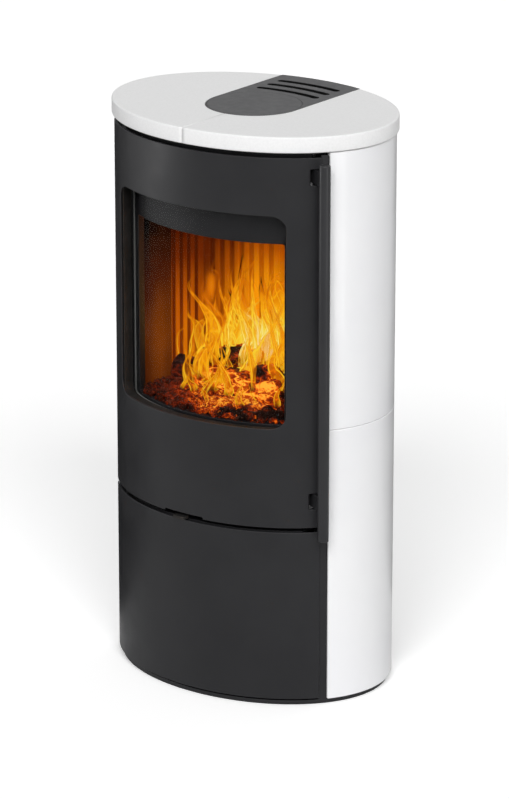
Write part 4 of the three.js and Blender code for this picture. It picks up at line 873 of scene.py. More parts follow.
@dataclass(frozen=True)
class Lick(FireLight):
    """Single tongue of flame, with a bright hem round a clearer middle.

    Args:
        clear: How much of the middle lets through.
    """

    clear: float = 0.62

    def build(self, tree: Tree) -> bpy.types.Material:
        """Builds the material."""
        edge, rise = self.spots(tree)
        place = tree.swirl(tree.coordinates((1, 1, 0.3)), 26, 0.03)
        streak = tree.ridge(tree.noise(38, 2, 0.55, at=place), 0.5, 0.08)
        fray = tree.span(tree.noise(45, 2, 0.6, at=place), 0.25, 0.75, -0.2, 0.25)
        edge = tree.maths("SUBTRACT", edge, fray)
        hem = tree.ridge(edge, tree.span(rise, 0.0, 1.0, 0.2, 0.45), 0.2)
        bright = tree.maths("MAXIMUM", hem, tree.maths("MULTIPLY", streak, 0.7))
        heat = tree.maths("ADD", tree.maths("MULTIPLY", bright, 0.34), tree.span(rise, 0.0, 1.0, 0.42, 0.16))
        veil = tree.span(bright, 0.0, 1.0, 1 - self.clear, 0.95)
        fades = (tree.span(edge, 0.0, 0.2), tree.span(rise, 0.55, 1.0, 1.0, 0.0), tree.span(rise, 0.0, 0.2))
        for fade in fades:
            veil = tree.maths("MULTIPLY", veil, fade)
        return self.light(tree, heat, veil)


FLUTE = (0.0003, 0.003)


@dataclass(frozen=True)
class PaintedFirelightBrick(Finish):
    """Fire brick with painted firelight: a glow in its colour stands for the flames' light on it, and painted
    shade darkens its flutes.

    Args:
        centre: Middle of the patch of painted firelight.
        radius: Reach of the painted firelight.
        strength: Brightness of the painted firelight.
        face: Distance of the side bricks' face and of the back bricks' face from the stove's middle.
        soot: How much painted shade darkens the flutes.
    """

    centre: Triple = (-0.02, 0.074, 0.62)
    radius: float = 0.27
    strength: float = 1.1
    face: Pair = (0.17, 0.074)
    soot: float = 0.5

    def flute_shade(self, tree: Tree) -> Socket:
        """Returns the share of painted shade: highest at the bottom of the flutes and 0 on the bricks' face.
        """
        parts = tree.parts(tree.place())
        depths = zip((tree.maths("ABSOLUTE", parts[0]), parts[1]), self.face)
        across, back = (tree.span(reach, face + FLUTE[0], face + FLUTE[1]) for reach, face in depths)
        return tree.maths("MULTIPLY", tree.maths("MAXIMUM", across, back), self.soot)

    def build(self, tree: Tree) -> bpy.types.Material:
        """Builds the material."""
        licks = tree.noise(9, 2.5, 0.55, at=tree.swirl(tree.coordinates((1, 1, 0.4)), 7, 0.12))
        flute_shade = self.flute_shade(tree)
        # Painted firelight: a glow that fades away from the centre, is broken up into licks and is held back
        # in the shaded flutes.
        heat = tree.maths("MULTIPLY", tree.span(tree.distance(self.centre), 0.02, self.radius, 1.0, 0.0),
                          tree.span(licks, 0.3, 0.7, 0.7, 1.15))
        heat = tree.maths("MULTIPLY", heat, tree.maths("SUBTRACT", 1.0, flute_shade))
        colour = tree.ramp(heat, [
            (0.0, (0.0, 0.0, 0.0)), (0.25, (0.10, 0.012, 0.0)), (0.55, (0.42, 0.085, 0.0)),
            (1.0, (1.0, 0.36, 0.003)),
        ])
        # The flutes' colour darkens towards a near-black brown: painted shade.
        return tree.finish(
            Base_Color=tree.blend(flute_shade, self.tint(tree), linear(16, 8, 4)),
            Roughness=tree.span(licks, 0.3, 0.7, *self.rough),
            Specular_IOR_Level=self.specular, Emission_Color=colour, Emission_Strength=self.strength,
            Normal=tree.relief(self.height(tree), self.relief),
        )


@dataclass(frozen=True)
class Charred(Finish):
    """Burning wood: black scales, pale ash on top, and light in the cracks.

    Args:
        strength: Brightness of the cracks.
        cracks: Cracks per metre.
        glow: Share of the surface that glows.
        hearth: Hottest place of the fire.
    """

    strength: float = 1.6
    cracks: float = 34.0
    glow: float = 0.5
    hearth: Triple = (0.05, -0.055, 0.53)

    def build(self, tree: Tree) -> bpy.types.Material:
        """Builds the material."""
        place = tree.swirl(tree.coordinates((0.6, 1, 1)), self.cracks * 0.8, 0.5 / self.cracks)
        wide = tree.ridge(tree.noise(self.cracks, 2.5, 0.6, at=place), 0.5, 0.05)
        fine = tree.ridge(tree.noise(self.cracks * 2.6, 2, 0.6, at=place), 0.5, 0.06)
        gap = tree.maths("MAXIMUM", wide, tree.maths("MULTIPLY", fine, 0.6))
        upper = tree.parts(tree.add("NewGeometry").outputs["Normal"])[2]
        ash = tree.maths("MULTIPLY", tree.span(upper, 0.2, 0.9), tree.span(tree.noise(60, 4, 0.7), 0.45, 0.7))
        zone = tree.span(tree.noise(14, 3, 0.6), 0.62 - self.glow * 0.3, 0.8 - self.glow * 0.3)
        zone = tree.maths("MULTIPLY", zone, tree.span(tree.distance(self.hearth), 0.08, 0.18, 1.0, 0.12))
        heat = tree.maths("MULTIPLY", tree.maths("ADD", gap, tree.maths("MULTIPLY", zone, 0.4)), zone)
        colour = tree.ramp(heat, [
            (0.0, (0.004, 0.0003, 0.0)), (0.35, (0.3, 0.022, 0.0)), (0.7, (0.85, 0.14, 0.004)),
            (1.0, (1.0, 0.4, 0.03)),
        ])
        relief = tree.relief(gap, -0.0014)
        return tree.finish(
            Base_Color=tree.blend(ash, self.colour, self.shade),
            Roughness=tree.span(tree.noise(self.patch), 0.3, 0.7, *self.rough),
            Specular_IOR_Level=self.specular, Emission_Color=colour, Emission_Strength=self.strength,
            Normal=tree.relief(tree.noise(self.grain, 3), self.relief, relief),
        )


# A lighter colour along the edges of these finishes is partly wear and partly a painted edge highlight.
BLACK_PAINT = Finish(
    "black_stove_paint", linear(37, 37, 39), linear(33, 33, 35), rough=(0.38, 0.46), patch=7, grain=1400,
    relief=1.2e-5, specular=0.26, rubbed_highlight_colour=linear(78, 78, 80), rubbing_and_highlight=0.8,
)
HANDLE_PAINT = Finish(
    "handle_paint", linear(44, 44, 46), linear(40, 40, 42), rough=(0.34, 0.42), patch=11, grain=1500,
    relief=1e-5, specular=0.3, rubbed_highlight_colour=linear(84, 84, 86), rubbing_and_highlight=0.8,
)
CAST_GREY = Finish(
    "cast_grey_paint", linear(83, 83, 84), linear(79, 79, 80), rough=(0.55, 0.63), patch=30, grain=1500,
    relief=2.2e-5, specular=0.2, rubbed_highlight_colour=linear(116, 116, 117), rubbing_and_highlight=0.8,
)
# Near-black matte for the sleeves in the cover's slots: painted shade on the slot walls.
PAINTED_SLOT_SHADE = Finish(
    "soot", linear(14, 14, 14), linear(9, 9, 9), rough=(0.85, 0.95), patch=60, grain=900, relief=5e-5,
    specular=0.1,
)
CAST_BLACK = Finish(
    "cast_iron", linear(34, 33, 32), linear(22, 21, 20), rough=(0.6, 0.75), patch=18, grain=700, relief=8e-5,
    specular=0.25, rubbed_highlight_colour=linear(92, 82, 74), rubbing_and_highlight=0.9,
)
GLAZE = Finish(
    "white_glaze", linear(243, 243, 244), linear(240, 240, 242), rough=(0.32, 0.4), patch=5, grain=60,
    relief=3e-5, specular=0.4, coat=0.25,
)
STONE = Finish(
    "pale_stone", linear(242, 242, 242), linear(238, 238, 238), rough=(0.5, 0.6), patch=260, grain=1100,
    relief=1.2e-5, specular=0.25,
)
SHEET_STEEL = Finish(
    "sheet_steel", linear(84, 85, 87), linear(66, 67, 69), rough=(0.42, 0.56), patch=24, grain=600,
    relief=1.5e-5, metallic=0.85, rubbed_highlight_colour=linear(150, 150, 152), rubbing_and_highlight=0.9,
)
FIRE_BRICK = Finish(
    "fire_brick", linear(82, 48, 26), linear(48, 27, 15), rough=(0.85, 0.95), patch=28, grain=420,
    relief=2.4e-4, specular=0.04,
)
# Bricks with painted firelight in their colour; the back and side bricks also have painted shade in their
# flutes.
BACK_BRICK_FIRELIGHT = PaintedFirelightBrick(
    "glowing_brick", linear(66, 32, 12), linear(38, 18, 7), rough=(0.85, 0.95), patch=28, grain=420,
    relief=2.4e-4, specular=0.04, soot=0.28,
)
SIDE_BRICK_FIRELIGHT = PaintedFirelightBrick(
    "warm_brick", linear(66, 32, 12), linear(38, 18, 7), rough=(0.85, 0.95), patch=28, grain=420,
    relief=2.4e-4, specular=0.04, centre=(-0.02, 0.07, 0.56), radius=0.34, strength=1.5,
)
# The cheeks: a darker brick with fainter painted firelight and no painted shade in the flutes.
CHEEK_BRICK = PaintedFirelightBrick(
    "sooted_brick", linear(46, 30, 20), linear(25, 17, 12), rough=(0.85, 0.95), patch=22, grain=420,
    relief=2.4e-4, specular=0.04, centre=(0.0, -0.02, 0.58), radius=0.3, strength=0.5, face=(0.4, 0.4),
)
SEAL_ROPE = Finish(
    "seal_rope", linear(96, 94, 90), linear(52, 51, 49), rough=(0.85, 0.95), patch=320, grain=500,
    relief=2e-4, specular=0.2,
)
FIRE_GLASS = Pane(
    "fire_glass", linear(8, 8, 8), linear(14, 13, 12), rough=(0.04, 0.1), specular=0.1,
)

NO_COLOUR = (0.0, 0.0, 0.0)
FLAME = Flame("flame", NO_COLOUR, NO_COLOUR, strength=1.15)
LICK = Lick("flame_lick", NO_COLOUR, NO_COLOUR, strength=1.15)
WISP = Lick("flame_wisp", NO_COLOUR, NO_COLOUR, clear=0.8)
CHARRED_WOOD = Charred(
    "charred_wood", linear(20, 15, 12), linear(62, 52, 46), rough=(0.8, 0.95), patch=40, grain=500,
    relief=3e-4, specular=0.12, strength=1.4, glow=0.75,
)
EMBERS = Charred(
    "embers", linear(26, 16, 11), linear(84, 62, 50), rough=(0.85, 0.95), patch=60, grain=700,
    relief=2e-4, specular=0.1, strength=1.15, cracks=60.0, glow=0.75,
)


# ---- Scattering ----


@dataclass(frozen=True)
class Scatter:
    """Geometry Nodes that spread small shapes over a surface.

    Args:
        density: Shapes per square metre.
        smallest: Smallest scale.
        largest: Largest scale.
        spin: Largest random turn about each axis.
        seed: Seed of the random numbers.
    """

    density: float
    smallest: float
    largest: float
    spin: Triple
    seed: int

    def tree(self) -> bpy.types.NodeTree:
        """Returns the node tree, built once."""
        name = "scatter_shapes"
        if name in bpy.data.node_groups:
            return bpy.data.node_groups[name]
        tree = Growth(name, {
            "Surface": "Geometry", "Density": "Float", "Smallest": "Float", "Largest": "Float",
            "Spin": "Vector", "Seed": "Int", "Shapes": "Collection", "Finish": "Material",
        })
        given = tree.given
        spread = tree.add("GeometryNodeDistributePointsOnFaces", {
            "Mesh": given["Surface"], "Density": given["Density"], "Seed": given["Seed"],
        })
        shapes = tree.add("GeometryNodeCollectionInfo", {
            "Collection": given["Shapes"], "Separate Children": True, "Reset Children": True,
        })
        back = tree.add("ShaderNodeVectorMath", {0: given["Spin"], "Scale": -1}, operation="SCALE").outputs[0]
        turn = tree.add("FunctionNodeRandomValue", {0: back, 1: given["Spin"], "Seed": given["Seed"]},
                        data_type="FLOAT_VECTOR")
        size = tree.add("FunctionNodeRandomValue", {
            2: given["Smallest"], 3: given["Largest"], "Seed": given["Seed"],
        })
        return tree.finish(tree.add("GeometryNodeInstanceOnPoints", {
            "Points": spread.outputs["Points"], "Instance": shapes.outputs[0], "Pick Instance": True,
            "Rotation": turn.outputs[0], "Scale": size.outputs[1],
        }).outputs[0])

    def spread(self, name: str, surface: bpy.types.Mesh, shapes: Sequence[bpy.types.Mesh],
               finish: Finish) -> bpy.types.Mesh:
        """Spreads shapes over a surface.

        Args:
            name: The new mesh's name.
            surface: The mesh that they are spread over.
            shapes: The shapes, about the origin.
            finish: Their finish.

        Returns:
            The mesh of all shapes.
        """
        kit = bpy.data.collections.new(name)
        members = [bpy.data.objects.new(shape.name, shape) for shape in shapes]
        for member in members:
            kit.objects.link(member)
        mesh = grown(name, surface, self.tree(), {
            "Density": self.density, "Smallest": self.smallest, "Largest": self.largest, "Spin": self.spin,
            "Seed": self.seed, "Shapes": kit, "Finish": finish.material(),
        })
        for member in members:
            bpy.data.objects.remove(member)
        bpy.data.collections.remove(kit)
        return mesh


def grown(name: str, base: bpy.types.Mesh, tree: bpy.types.NodeTree,
          values: dict[str, object]) -> bpy.types.Mesh:
    """Runs a mesh through a node tree.

    Args:
        name: The new mesh's name.
        base: The mesh that goes in.
        tree: The node tree.
        values: The tree's inputs, by name.

    Returns:
        The plain mesh that comes out.
    """
    holder = bpy.data.objects.new(name, base)
    bpy.context.scene.collection.objects.link(holder)
    modifier = holder.modifiers.new("nodes", "NODES")
    modifier.node_group = tree
    for item in tree.interface.items_tree:
        if item.name in values:
            modifier[item.identifier] = values[item.name]
    graph = bpy.context.evaluated_depsgraph_get()
    mesh = bpy.data.meshes.new_from_object(holder.evaluated_get(graph), depsgraph=graph)
    bpy.data.objects.remove(holder)
    mesh.name = name
    return mesh


@dataclass(frozen=True)
class Screws:
    """Geometry Nodes that set socket-head screws on a sheet, each turned as it happens to stop.

    Args:
        radius: Radius of a head.
        tall: Height of a head.
        sides: Number of sides of a head.
        seed: Seed of the heads' turns.
    """

    radius: float = 0.0042
    tall: float = 0.0018
    sides: int = 18
    seed: int = 3

    def head(self) -> bpy.types.Mesh:
        """Returns a domed head with a six-sided socket, standing at the origin."""
        steps = [(1.0, -0.1), (1.0, 0.35), (0.9, 0.75), (0.68, 1.0), (0.46, 1.0), (0.44, 0.3)]
        socket = 4
        sixth = math.pi / 3
        rings = []
        for k, (share, rise) in enumerate(steps):
            ring = []
            for i in range(self.sides):
                angle = math.tau * i / self.sides
                flat = math.cos(sixth / 2) / math.cos(angle % sixth - sixth / 2) if k >= socket else 1.0
                reach = self.radius * share * flat
                ring.append((reach * math.cos(angle), reach * math.sin(angle), self.tall * rise))
            rings.append(ring)
        return loft("screw_head", rings, 40)

    def tree(self) -> bpy.types.NodeTree:
        """Returns the node tree, built once."""
        name = "place_screws"
        if name in bpy.data.node_groups:
            return bpy.data.node_groups[name]
        tree = Growth(name, {
            "Places": "Geometry", "Head": "Object", "Size": "Float", "Seed": "Int", "Finish": "Material",
        })
        given = tree.given
        facing = tree.add("GeometryNodeInputNamedAttribute", {0: "facing"}, data_type="FLOAT_VECTOR")
        stand = tree.add("FunctionNodeAlignRotationToVector", {"Vector": facing.outputs[0]}, axis="Z")
        stop = tree.add("FunctionNodeRandomValue", {3: math.tau, "Seed": given["Seed"]})
        spin = tree.add("FunctionNodeAxisAngleToRotation", {"Angle": stop.outputs[1]})
        both = tree.add("FunctionNodeRotateRotation", {
            "Rotation": stand.outputs[0], "Rotate By": spin.outputs[0],
        }, rotation_space="LOCAL")
        head = tree.add("GeometryNodeObjectInfo", {"Object": given["Head"]})
        return tree.finish(tree.add("GeometryNodeInstanceOnPoints", {
            "Points": given["Places"], "Instance": head.outputs["Geometry"], "Rotation": both.outputs[0],
            "Scale": given["Size"],
        }).outputs[0])

    def placed(self, name: str, bend: Bend, places: Sequence[Pair], finish: Finish) -> bpy.types.Mesh:
        """Sets screws on the outer face of a bent sheet.

        Args:
            name: The new mesh's name.
            bend: The sheet's bend.
            places: The screws, as distance along and height.
            finish: Their finish.

        Returns:
            The mesh of all heads.
        """
        carrier = bpy.data.meshes.new(name)
        carrier.from_pydata([bend.at(*spot, 0) for spot in places], [], [])
        facing = carrier.attributes.new("facing", "FLOAT_VECTOR", "POINT")
        facing.data.foreach_set("vector", [c for spot in places for c in bend.outward(*spot, 0)])
        head = bpy.data.objects.new("screw_head", self.head())
        bpy.context.scene.collection.objects.link(head)
        mesh = grown(name, carrier, self.tree(), {
            "Head": head, "Size": 1.0, "Seed": self.seed, "Finish": finish.material(),
        })
        bpy.data.objects.remove(head)
        return mesh


# ---- Putting pieces on the frame ----


def install(name: str, mesh: bpy.types.Mesh, finish: Finish, body: Body,
            stands_for: Sequence[str] = ()) -> bpy.types.Object:
    """Puts a finished mesh on a body of the frame.

    Args:
        name: The piece's name.
        mesh: Its mesh, in place.
        finish: Its finish.
        body: The body it rides on.
        stands_for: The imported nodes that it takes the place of.

    Returns:
        The piece.
    """
    piece = bpy.data.objects.new(name, mesh)
    bpy.context.scene.collection.objects.link(piece)
    mesh.materials.clear()
    mesh.materials.append(finish.material())
    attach(piece, body.value)
    if stands_for:
        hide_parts(*stands_for)
    LOG.info("%s: %d faces on %s", name, len(mesh.polygons), body.value)
    return piece


def dress(nodes: Sequence[str], finish: Finish, edge: float = 0.0005) -> None:
    """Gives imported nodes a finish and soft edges.

    Args:
        nodes: The nodes' names.
        finish: Their finish.
        edge: Width of the softened edges.
    """
    for name in nodes:
        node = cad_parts[name]
        for slot in node.material_slots:
            slot.material = finish.material()
        node.modifiers.new("weld", "WELD").merge_threshold = MERGE
        bevel = node.modifiers.new("soft_edges", "BEVEL")
        bevel.width = edge
        bevel.segments = 2
        bevel.limit_method = "ANGLE"
        bevel.angle_limit = math.radians(35)
        LOG.info("%s: packed node in %s", name, finish.name)


# ---- Sub-assemblies ----


class Assembly:
    """A part of the stove that is built and dressed in one go."""

    def build(self) -> None:
        """Builds the pieces that only the scene has."""

    def dress(self) -> None:
        """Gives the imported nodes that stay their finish."""


@dataclass
class TopStone(Assembly):
    """Stone top in two halves, with the cover let into it and the flue lid.

    Args:
        overhang: How far the stone stands out from the body.
        rim: Radius of the stone's outer edge.
        arris: Radius of its other edges.
        seam: Width of the joint between the halves.
        edge_parts: Segments of the rounded edges.
        well: Half-width of the well for the cover.
        cover: Half-width of the cover.
        cover_plate: Thickness of the cover's top.
        cover_wall: Thickness of its skirt.
        lid: Radius of the flue lid.
        lid_thickness: Thickness of the lid.
        lid_gap: Height of the lid above its seat.
        recess: Radius of the lid's seat.
        ledge: Width of the seat's ledge.
        slot_insets: Insets of the warm-air slots.
        slot_reach: Half-length of a slot.
        slot_width: Width of a slot.
        slot_caps: Segments of a slot's round ends.
        lining: Thickness of the dark sleeve of painted shade on a slot's walls.
    """

    overhang: float = 0.0043
    rim: float = 0.003
    arris: float = 0.0008
    seam: float = 0.0008
    edge_parts: int = 5
    well: float = 0.0864
    cover: float = 0.0856
    cover_plate: float = 0.005
    cover_wall: float = 0.0018
    lid: float = 0.0832
    lid_thickness: float = 0.006
    lid_gap: float = 0.0003
    recess: float = 0.0838
    ledge: float = 0.008
    slot_insets: Triple = (0.0375, 0.068, 0.0985)
    slot_reach: float = 0.067
    slot_width: float = 0.0145
    slot_caps: int = 8
    lining: float = 0.0006

    def build(self) -> None:
        """Builds the halves, the cover and the lid."""
        for side, sign in (("right", 1), ("left", -1)):
            mesh = self.half_slab(f"stone_slab_{side}", sign)
            install(f"stone_slab_{side}", mesh, STONE, Body.ROOT, [f"top_slab_{side}"])
        install("outlet_cover", self.cover_mesh(), CAST_GREY, Body.ROOT, ["top_cover"])
        # A dark sleeve in each slot: painted shade on the slot walls.
        install("slot_linings", self.painted_shade_mesh(), PAINTED_SLOT_SHADE, Body.ROOT)
        install("flue_lid_disc", self.lid_mesh(), CAST_GREY, Body.LID, ["flue_lid"])

    def half_slab(self, name: str, sign: int) -> bpy.types.Mesh:
        """Returns one half of the stone."""
        half = self.seam / 2
        front = math.degrees(math.asin(half / (PLAN.half_width + self.overhang)))
        back = 180 - math.degrees(math.asin(self.well / (PLAN.half_width + self.overhang)))
        rim = PLAN.arc(-self.overhang, front, back)
        steps = 40
        lowest = math.asin(half / self.well)
        bowl = []
        for i in range(steps + 1):
            angle = (math.pi / 2 - lowest) * i / steps
            bowl.append((self.well * math.cos(angle), -self.well * math.sin(angle)))
        outline = rim + bowl
        margins = [self.rim] * (len(rim) - 1) + [self.arris] * (len(bowl) + 1)
        rings = []
        for lift, share in self.edge_steps():
            ring = inset_outline(outline, [margin * share for margin in margins])
            rings.append([(sign * x, y, lift) for x, y in ring])
        mesh = loft(name, rings)
        flatten_caps(mesh, lambda v: Vector((0, 0, 1)) if v.z > HEIGHT - MERGE else
                     Vector((0, 0, -1)) if v.z < SLAB_BOTTOM + MERGE else Vector())
        return mesh

    def edge_steps(self) -> list[Pair]:
        """Returns heights up the stone's edge, each with its share of the rounding."""
        turns = [math.pi / 2 * i / self.edge_parts for i in range(self.edge_parts + 1)]
        lower = [(SLAB_BOTTOM + self.rim * (1 - math.cos(a)), 1 - math.sin(a)) for a in turns]
        upper = [(HEIGHT - self.rim * (1 - math.sin(a)), 1 - math.cos(a)) for a in turns]
        return lower + upper

    def cover_outline(self, shrink: float = 0.0) -> Outline:
        """Returns the cover's plan: round at the front, straight sides to the stone's rear edge."""
        radius = self.cover - shrink
        inset = shrink - self.overhang
        bowl = [(radius * math.cos(a), radius * math.sin(a))
                for a in (math.pi * (1 + i / 64) for i in range(65))]
        corner = math.degrees(math.asin(radius / (PLAN.half_width - inset)))
        return bowl + PLAN.arc(inset, 180 - corner, 180 + corner)

    def slot_outline(self, inset: float, shrink: float = 0.0) -> Outline:
        """Returns a curved slot with round ends, parallel to the rear edge."""
        half = self.slot_width / 2
        sweep = math.degrees(math.asin(self.slot_reach / (PLAN.half_width - inset)))
        reach = sweep * (1 - half / self.slot_reach)
        half -= shrink
        outer = PLAN.arc(inset - half, 180 - reach, 180 + reach, 1.0)
        inner = PLAN.arc(inset + half, 180 + reach, 180 - reach, 1.0)
        ends = []
        for turn, side in ((180 + reach, -1), (180 - reach, 1)):
            centre = Vector(PLAN.point(inset, turn))
            spoke = Vector(PLAN.point(inset - half, turn)) - centre
            if side > 0:
                spoke.negate()
            cap = []
            for i in range(1, self.slot_caps):
                arm = spoke.copy()
                arm.rotate(Matrix.Rotation(math.pi * i / self.slot_caps, 2))
                cap.append(tuple(centre + arm))
            ends.append(cap)
        return outer + ends[0] + inner + ends[1]

    def cover_mesh(self) -> bpy.types.Mesh:
        """Returns the cover with its slots, its skirt and the lid's seat."""
        under = HEIGHT - self.cover_plate
        ledge_top = HEIGHT - self.lid_thickness - self.lid_gap
        slots = [self.slot_outline(inset) for inset in self.slot_insets]
        seat = circle((0, 0), self.recess)
        parts = [
            plate("cover_plate", [self.cover_outline(), seat, *slots], under, HEIGHT, 0.0006),
            plate("cover_skirt", [self.cover_outline(), self.cover_outline(self.cover_wall)],
                  SLAB_BOTTOM, under + 0.0002, 0.0003),
            plate("lid_seat", [circle((0, 0), self.recess + 0.001), circle((0, 0), self.recess - self.ledge)],
                  ledge_top - 0.004, ledge_top, 0.0004),
        ]
        return joined("outlet_cover", parts)

    def painted_shade_mesh(self) -> bpy.types.Mesh:
        """Returns dark sleeves on the slots' walls: painted shade."""
        bottom, top = HEIGHT - self.cover_plate - 0.001, HEIGHT - 0.0007
        outlines = [
            [self.slot_outline(inset), self.slot_outline(inset, self.lining)] for inset in self.slot_insets
        ]
        return joined("slot_linings", [plate("slot_lining", pair, bottom, top, 0.0001) for pair in outlines])

    def lid_mesh(self) -> bpy.types.Mesh:
        """Returns the flue lid with a softly rounded edge."""
        bottom = HEIGHT - self.lid_thickness
        return plate("flue_lid_disc", [circle((0, 0), self.lid, 128)], bottom, HEIGHT, 0.0009)


@dataclass
class Tiles(Assembly):
    """Glazed ceramic tiles, two on each side.

    Args:
        start: Turn of the front edge.
        end: Turn of the rear edge.
        thickness: Thickness of a tile.
        bottom: Foot of the lower tiles.
        joint: Height of the joint's middle.
        gap: Width of the joint.
        top: Head of the upper tiles.
        corner: Radius of the corners.
        edge: Radius of the glazed edges.
        trim_turn: Width of the black trim before the tiles' front ends, as a turn.
        trim_inset: Inset of the trim.
        trim_top: Head of the trim.
    """

    start: float = 61.1
    end: float = 132.0
    thickness: float = 0.014
    bottom: float = 0.01
    joint: float = 0.512
    gap: float = 0.0006
    top: float = 1.011
    corner: float = 0.0022
    edge: float = 0.0016
    trim_turn: float = 0.3
    trim_inset: float = 0.0035
    trim_top: float = 1.004

    def build(self) -> None:
        """Builds the four tiles, and the trim before them."""
        half = self.gap / 2
        levels = (("lower", self.bottom, self.joint - half), ("upper", self.joint + half, self.top))
        for side in ("right", "left"):
            bend = SideBend(self.start, self.end, side == "left")
            for level, low, high in levels:
                name = f"glazed_tile_{side}_{level}"
                outline = rectangle(0, bend.length(), low, high, self.corner)
                mesh = bent(name, [outline], self.thickness, self.edge, bend)
                install(name, mesh, GLAZE, Body.ROOT, [f"tile_{side}_{level}"])
            bend = SideBend(self.start - self.trim_turn, self.start - 0.02, side == "left", self.trim_inset)
            outline = rectangle(0, bend.length(), self.bottom, self.trim_top, 0.0004)
            thickness = self.thickness + 0.002 - self.trim_inset
            mesh = bent(f"tile_trim_{side}", [outline], thickness, 0.0003, bend)
            install(f"tile_trim_{side}", mesh, BLACK_PAINT, Body.ROOT)


@dataclass
class Carcass(Assembly):
    """Steel body: base plate, shell, posts, decks and the rear sheet with its vents.

    Args:
        apron: Inset, thickness, foot and head of the strip under the top deck.
        apron_reach: Half-width of the strip.
        base_inset: Inset of the base plate.
        base_thickness: Its thickness.
        rear_inset: Inset of the rear sheet.
        rear_turn: Turn of the rear sheet's edge.
        rear_bottom: Foot of the rear sheet.
        rear_top: Head of the rear sheet.
        sheet: Thickness of the sheet.
        vent_rows: Heights of the rows of vents.
        vent_centre: Distance of a vent from the middle.
        vent_half: Half-length of a vent.
        vent_tall: Height of a vent.
        flue: Height and radius of the flue's hole.
        inlet: Height and radius of the air inlet's hole.
        screw_along: Distance of the rear sheet's screws from the middle.
        screw_rows: Heights of its screws.
        middle_screws: Heights of the screws in its middle.
    """

    apron: tuple[float, float, float, float] = (0.016, 0.0015, 0.9935, 1.0065)
    apron_reach: float = 0.205
    base_inset: float = 0.0068
    base_thickness: float = 0.008
    rear_inset: float = 0.003
    rear_turn: float = 132.4
    rear_bottom: float = 0.01
    rear_top: float = 1.0057
    sheet: float = 0.002
    vent_rows: tuple[float, ...] = (0.06, 0.095, 0.41, 0.445, 0.745)
    vent_centre: float = 0.078
    vent_half: float = 0.04
    vent_tall: float = 0.008
    flue: Pair = (0.918, 0.0762)
    inlet: Pair = (0.262, 0.0512)
    screw_along: float = 0.184
    screw_rows: tuple[float, ...] = (0.024, 0.175, 0.34, 0.51, 0.68, 0.84, 0.992)
    middle_screws: Pair = (0.024, 0.56)

    def build(self) -> None:
        """Builds the base plate, the rear sheet with its screws, and the strip under the top deck."""
        inset, thickness, foot, head = self.apron
        outline = rectangle(-self.apron_reach, self.apron_reach, foot, head, 0.001)
        strip = bent("deck_apron", [outline], thickness, 0.0003, FaceBend(inset))
        install("deck_apron", strip, BLACK_PAINT, Body.ROOT)
        base = plate("floor_plate", [PLAN.arc(self.base_inset, 0, 360)[:-1]], 0, self.base_thickness, 0.001)
        install("floor_plate", base, BLACK_PAINT, Body.ROOT, ["base_plate"])
        install("rear_sheet", self.rear_mesh(), BLACK_PAINT, Body.ROOT, ["rear_panel"])
        places = [(sign * self.screw_along, height) for sign in (-1, 1) for height in self.screw_rows]
        places += [(0.0, height) for height in self.middle_screws]
        screws = Screws().placed("rear_screws", FaceBend(self.rear_inset, rear=True), places, CAST_BLACK)
        install("rear_screws", screws, CAST_BLACK, Body.ROOT)

    def rear_mesh(self) -> bpy.types.Mesh:
        """Returns the rear sheet with its vents, holes and flanges."""
        edge = PLAN.point(self.rear_inset, self.rear_turn)[0]
        bend = FaceBend(self.rear_inset, edge - 0.02, edge, rear=True)
        holes = [circle((0, height), radius) for height, radius in (self.flue, self.inlet)]
        for row in self.vent_rows:
            for centre in (-self.vent_centre, self.vent_centre):
                holes.append(rectangle(
                    centre - self.vent_half, centre + self.vent_half,
                    row - self.vent_tall / 2, row + self.vent_tall / 2, self.vent_tall * 0.45,
                ))
        sheet = rectangle(-edge, edge, self.rear_bottom, self.rear_top, 0.002)
        parts = [bent("rear_sheet_wall", [sheet, *holes], self.sheet, 0.0005, bend)]
        for sign in (-1, 1):
            outer = PLAN.arc(self.rear_inset + self.sheet, self.rear_turn, self.rear_turn + 0.6)
            inner = PLAN.arc(0.015, self.rear_turn + 0.6, self.rear_turn)
            outline = [(sign * x, y) for x, y in outer + inner]
            parts.append(plate("rear_flange", [outline], self.rear_bottom, self.rear_top, 0.0003))
        return joined("rear_sheet", parts)

    def dress(self) -> None:
        """Gives the shell, posts and decks their finish."""
        dress(["carcass_shell", "latch_post", "hinge_post", "middle_deck", "top_deck"], BLACK_PAINT)


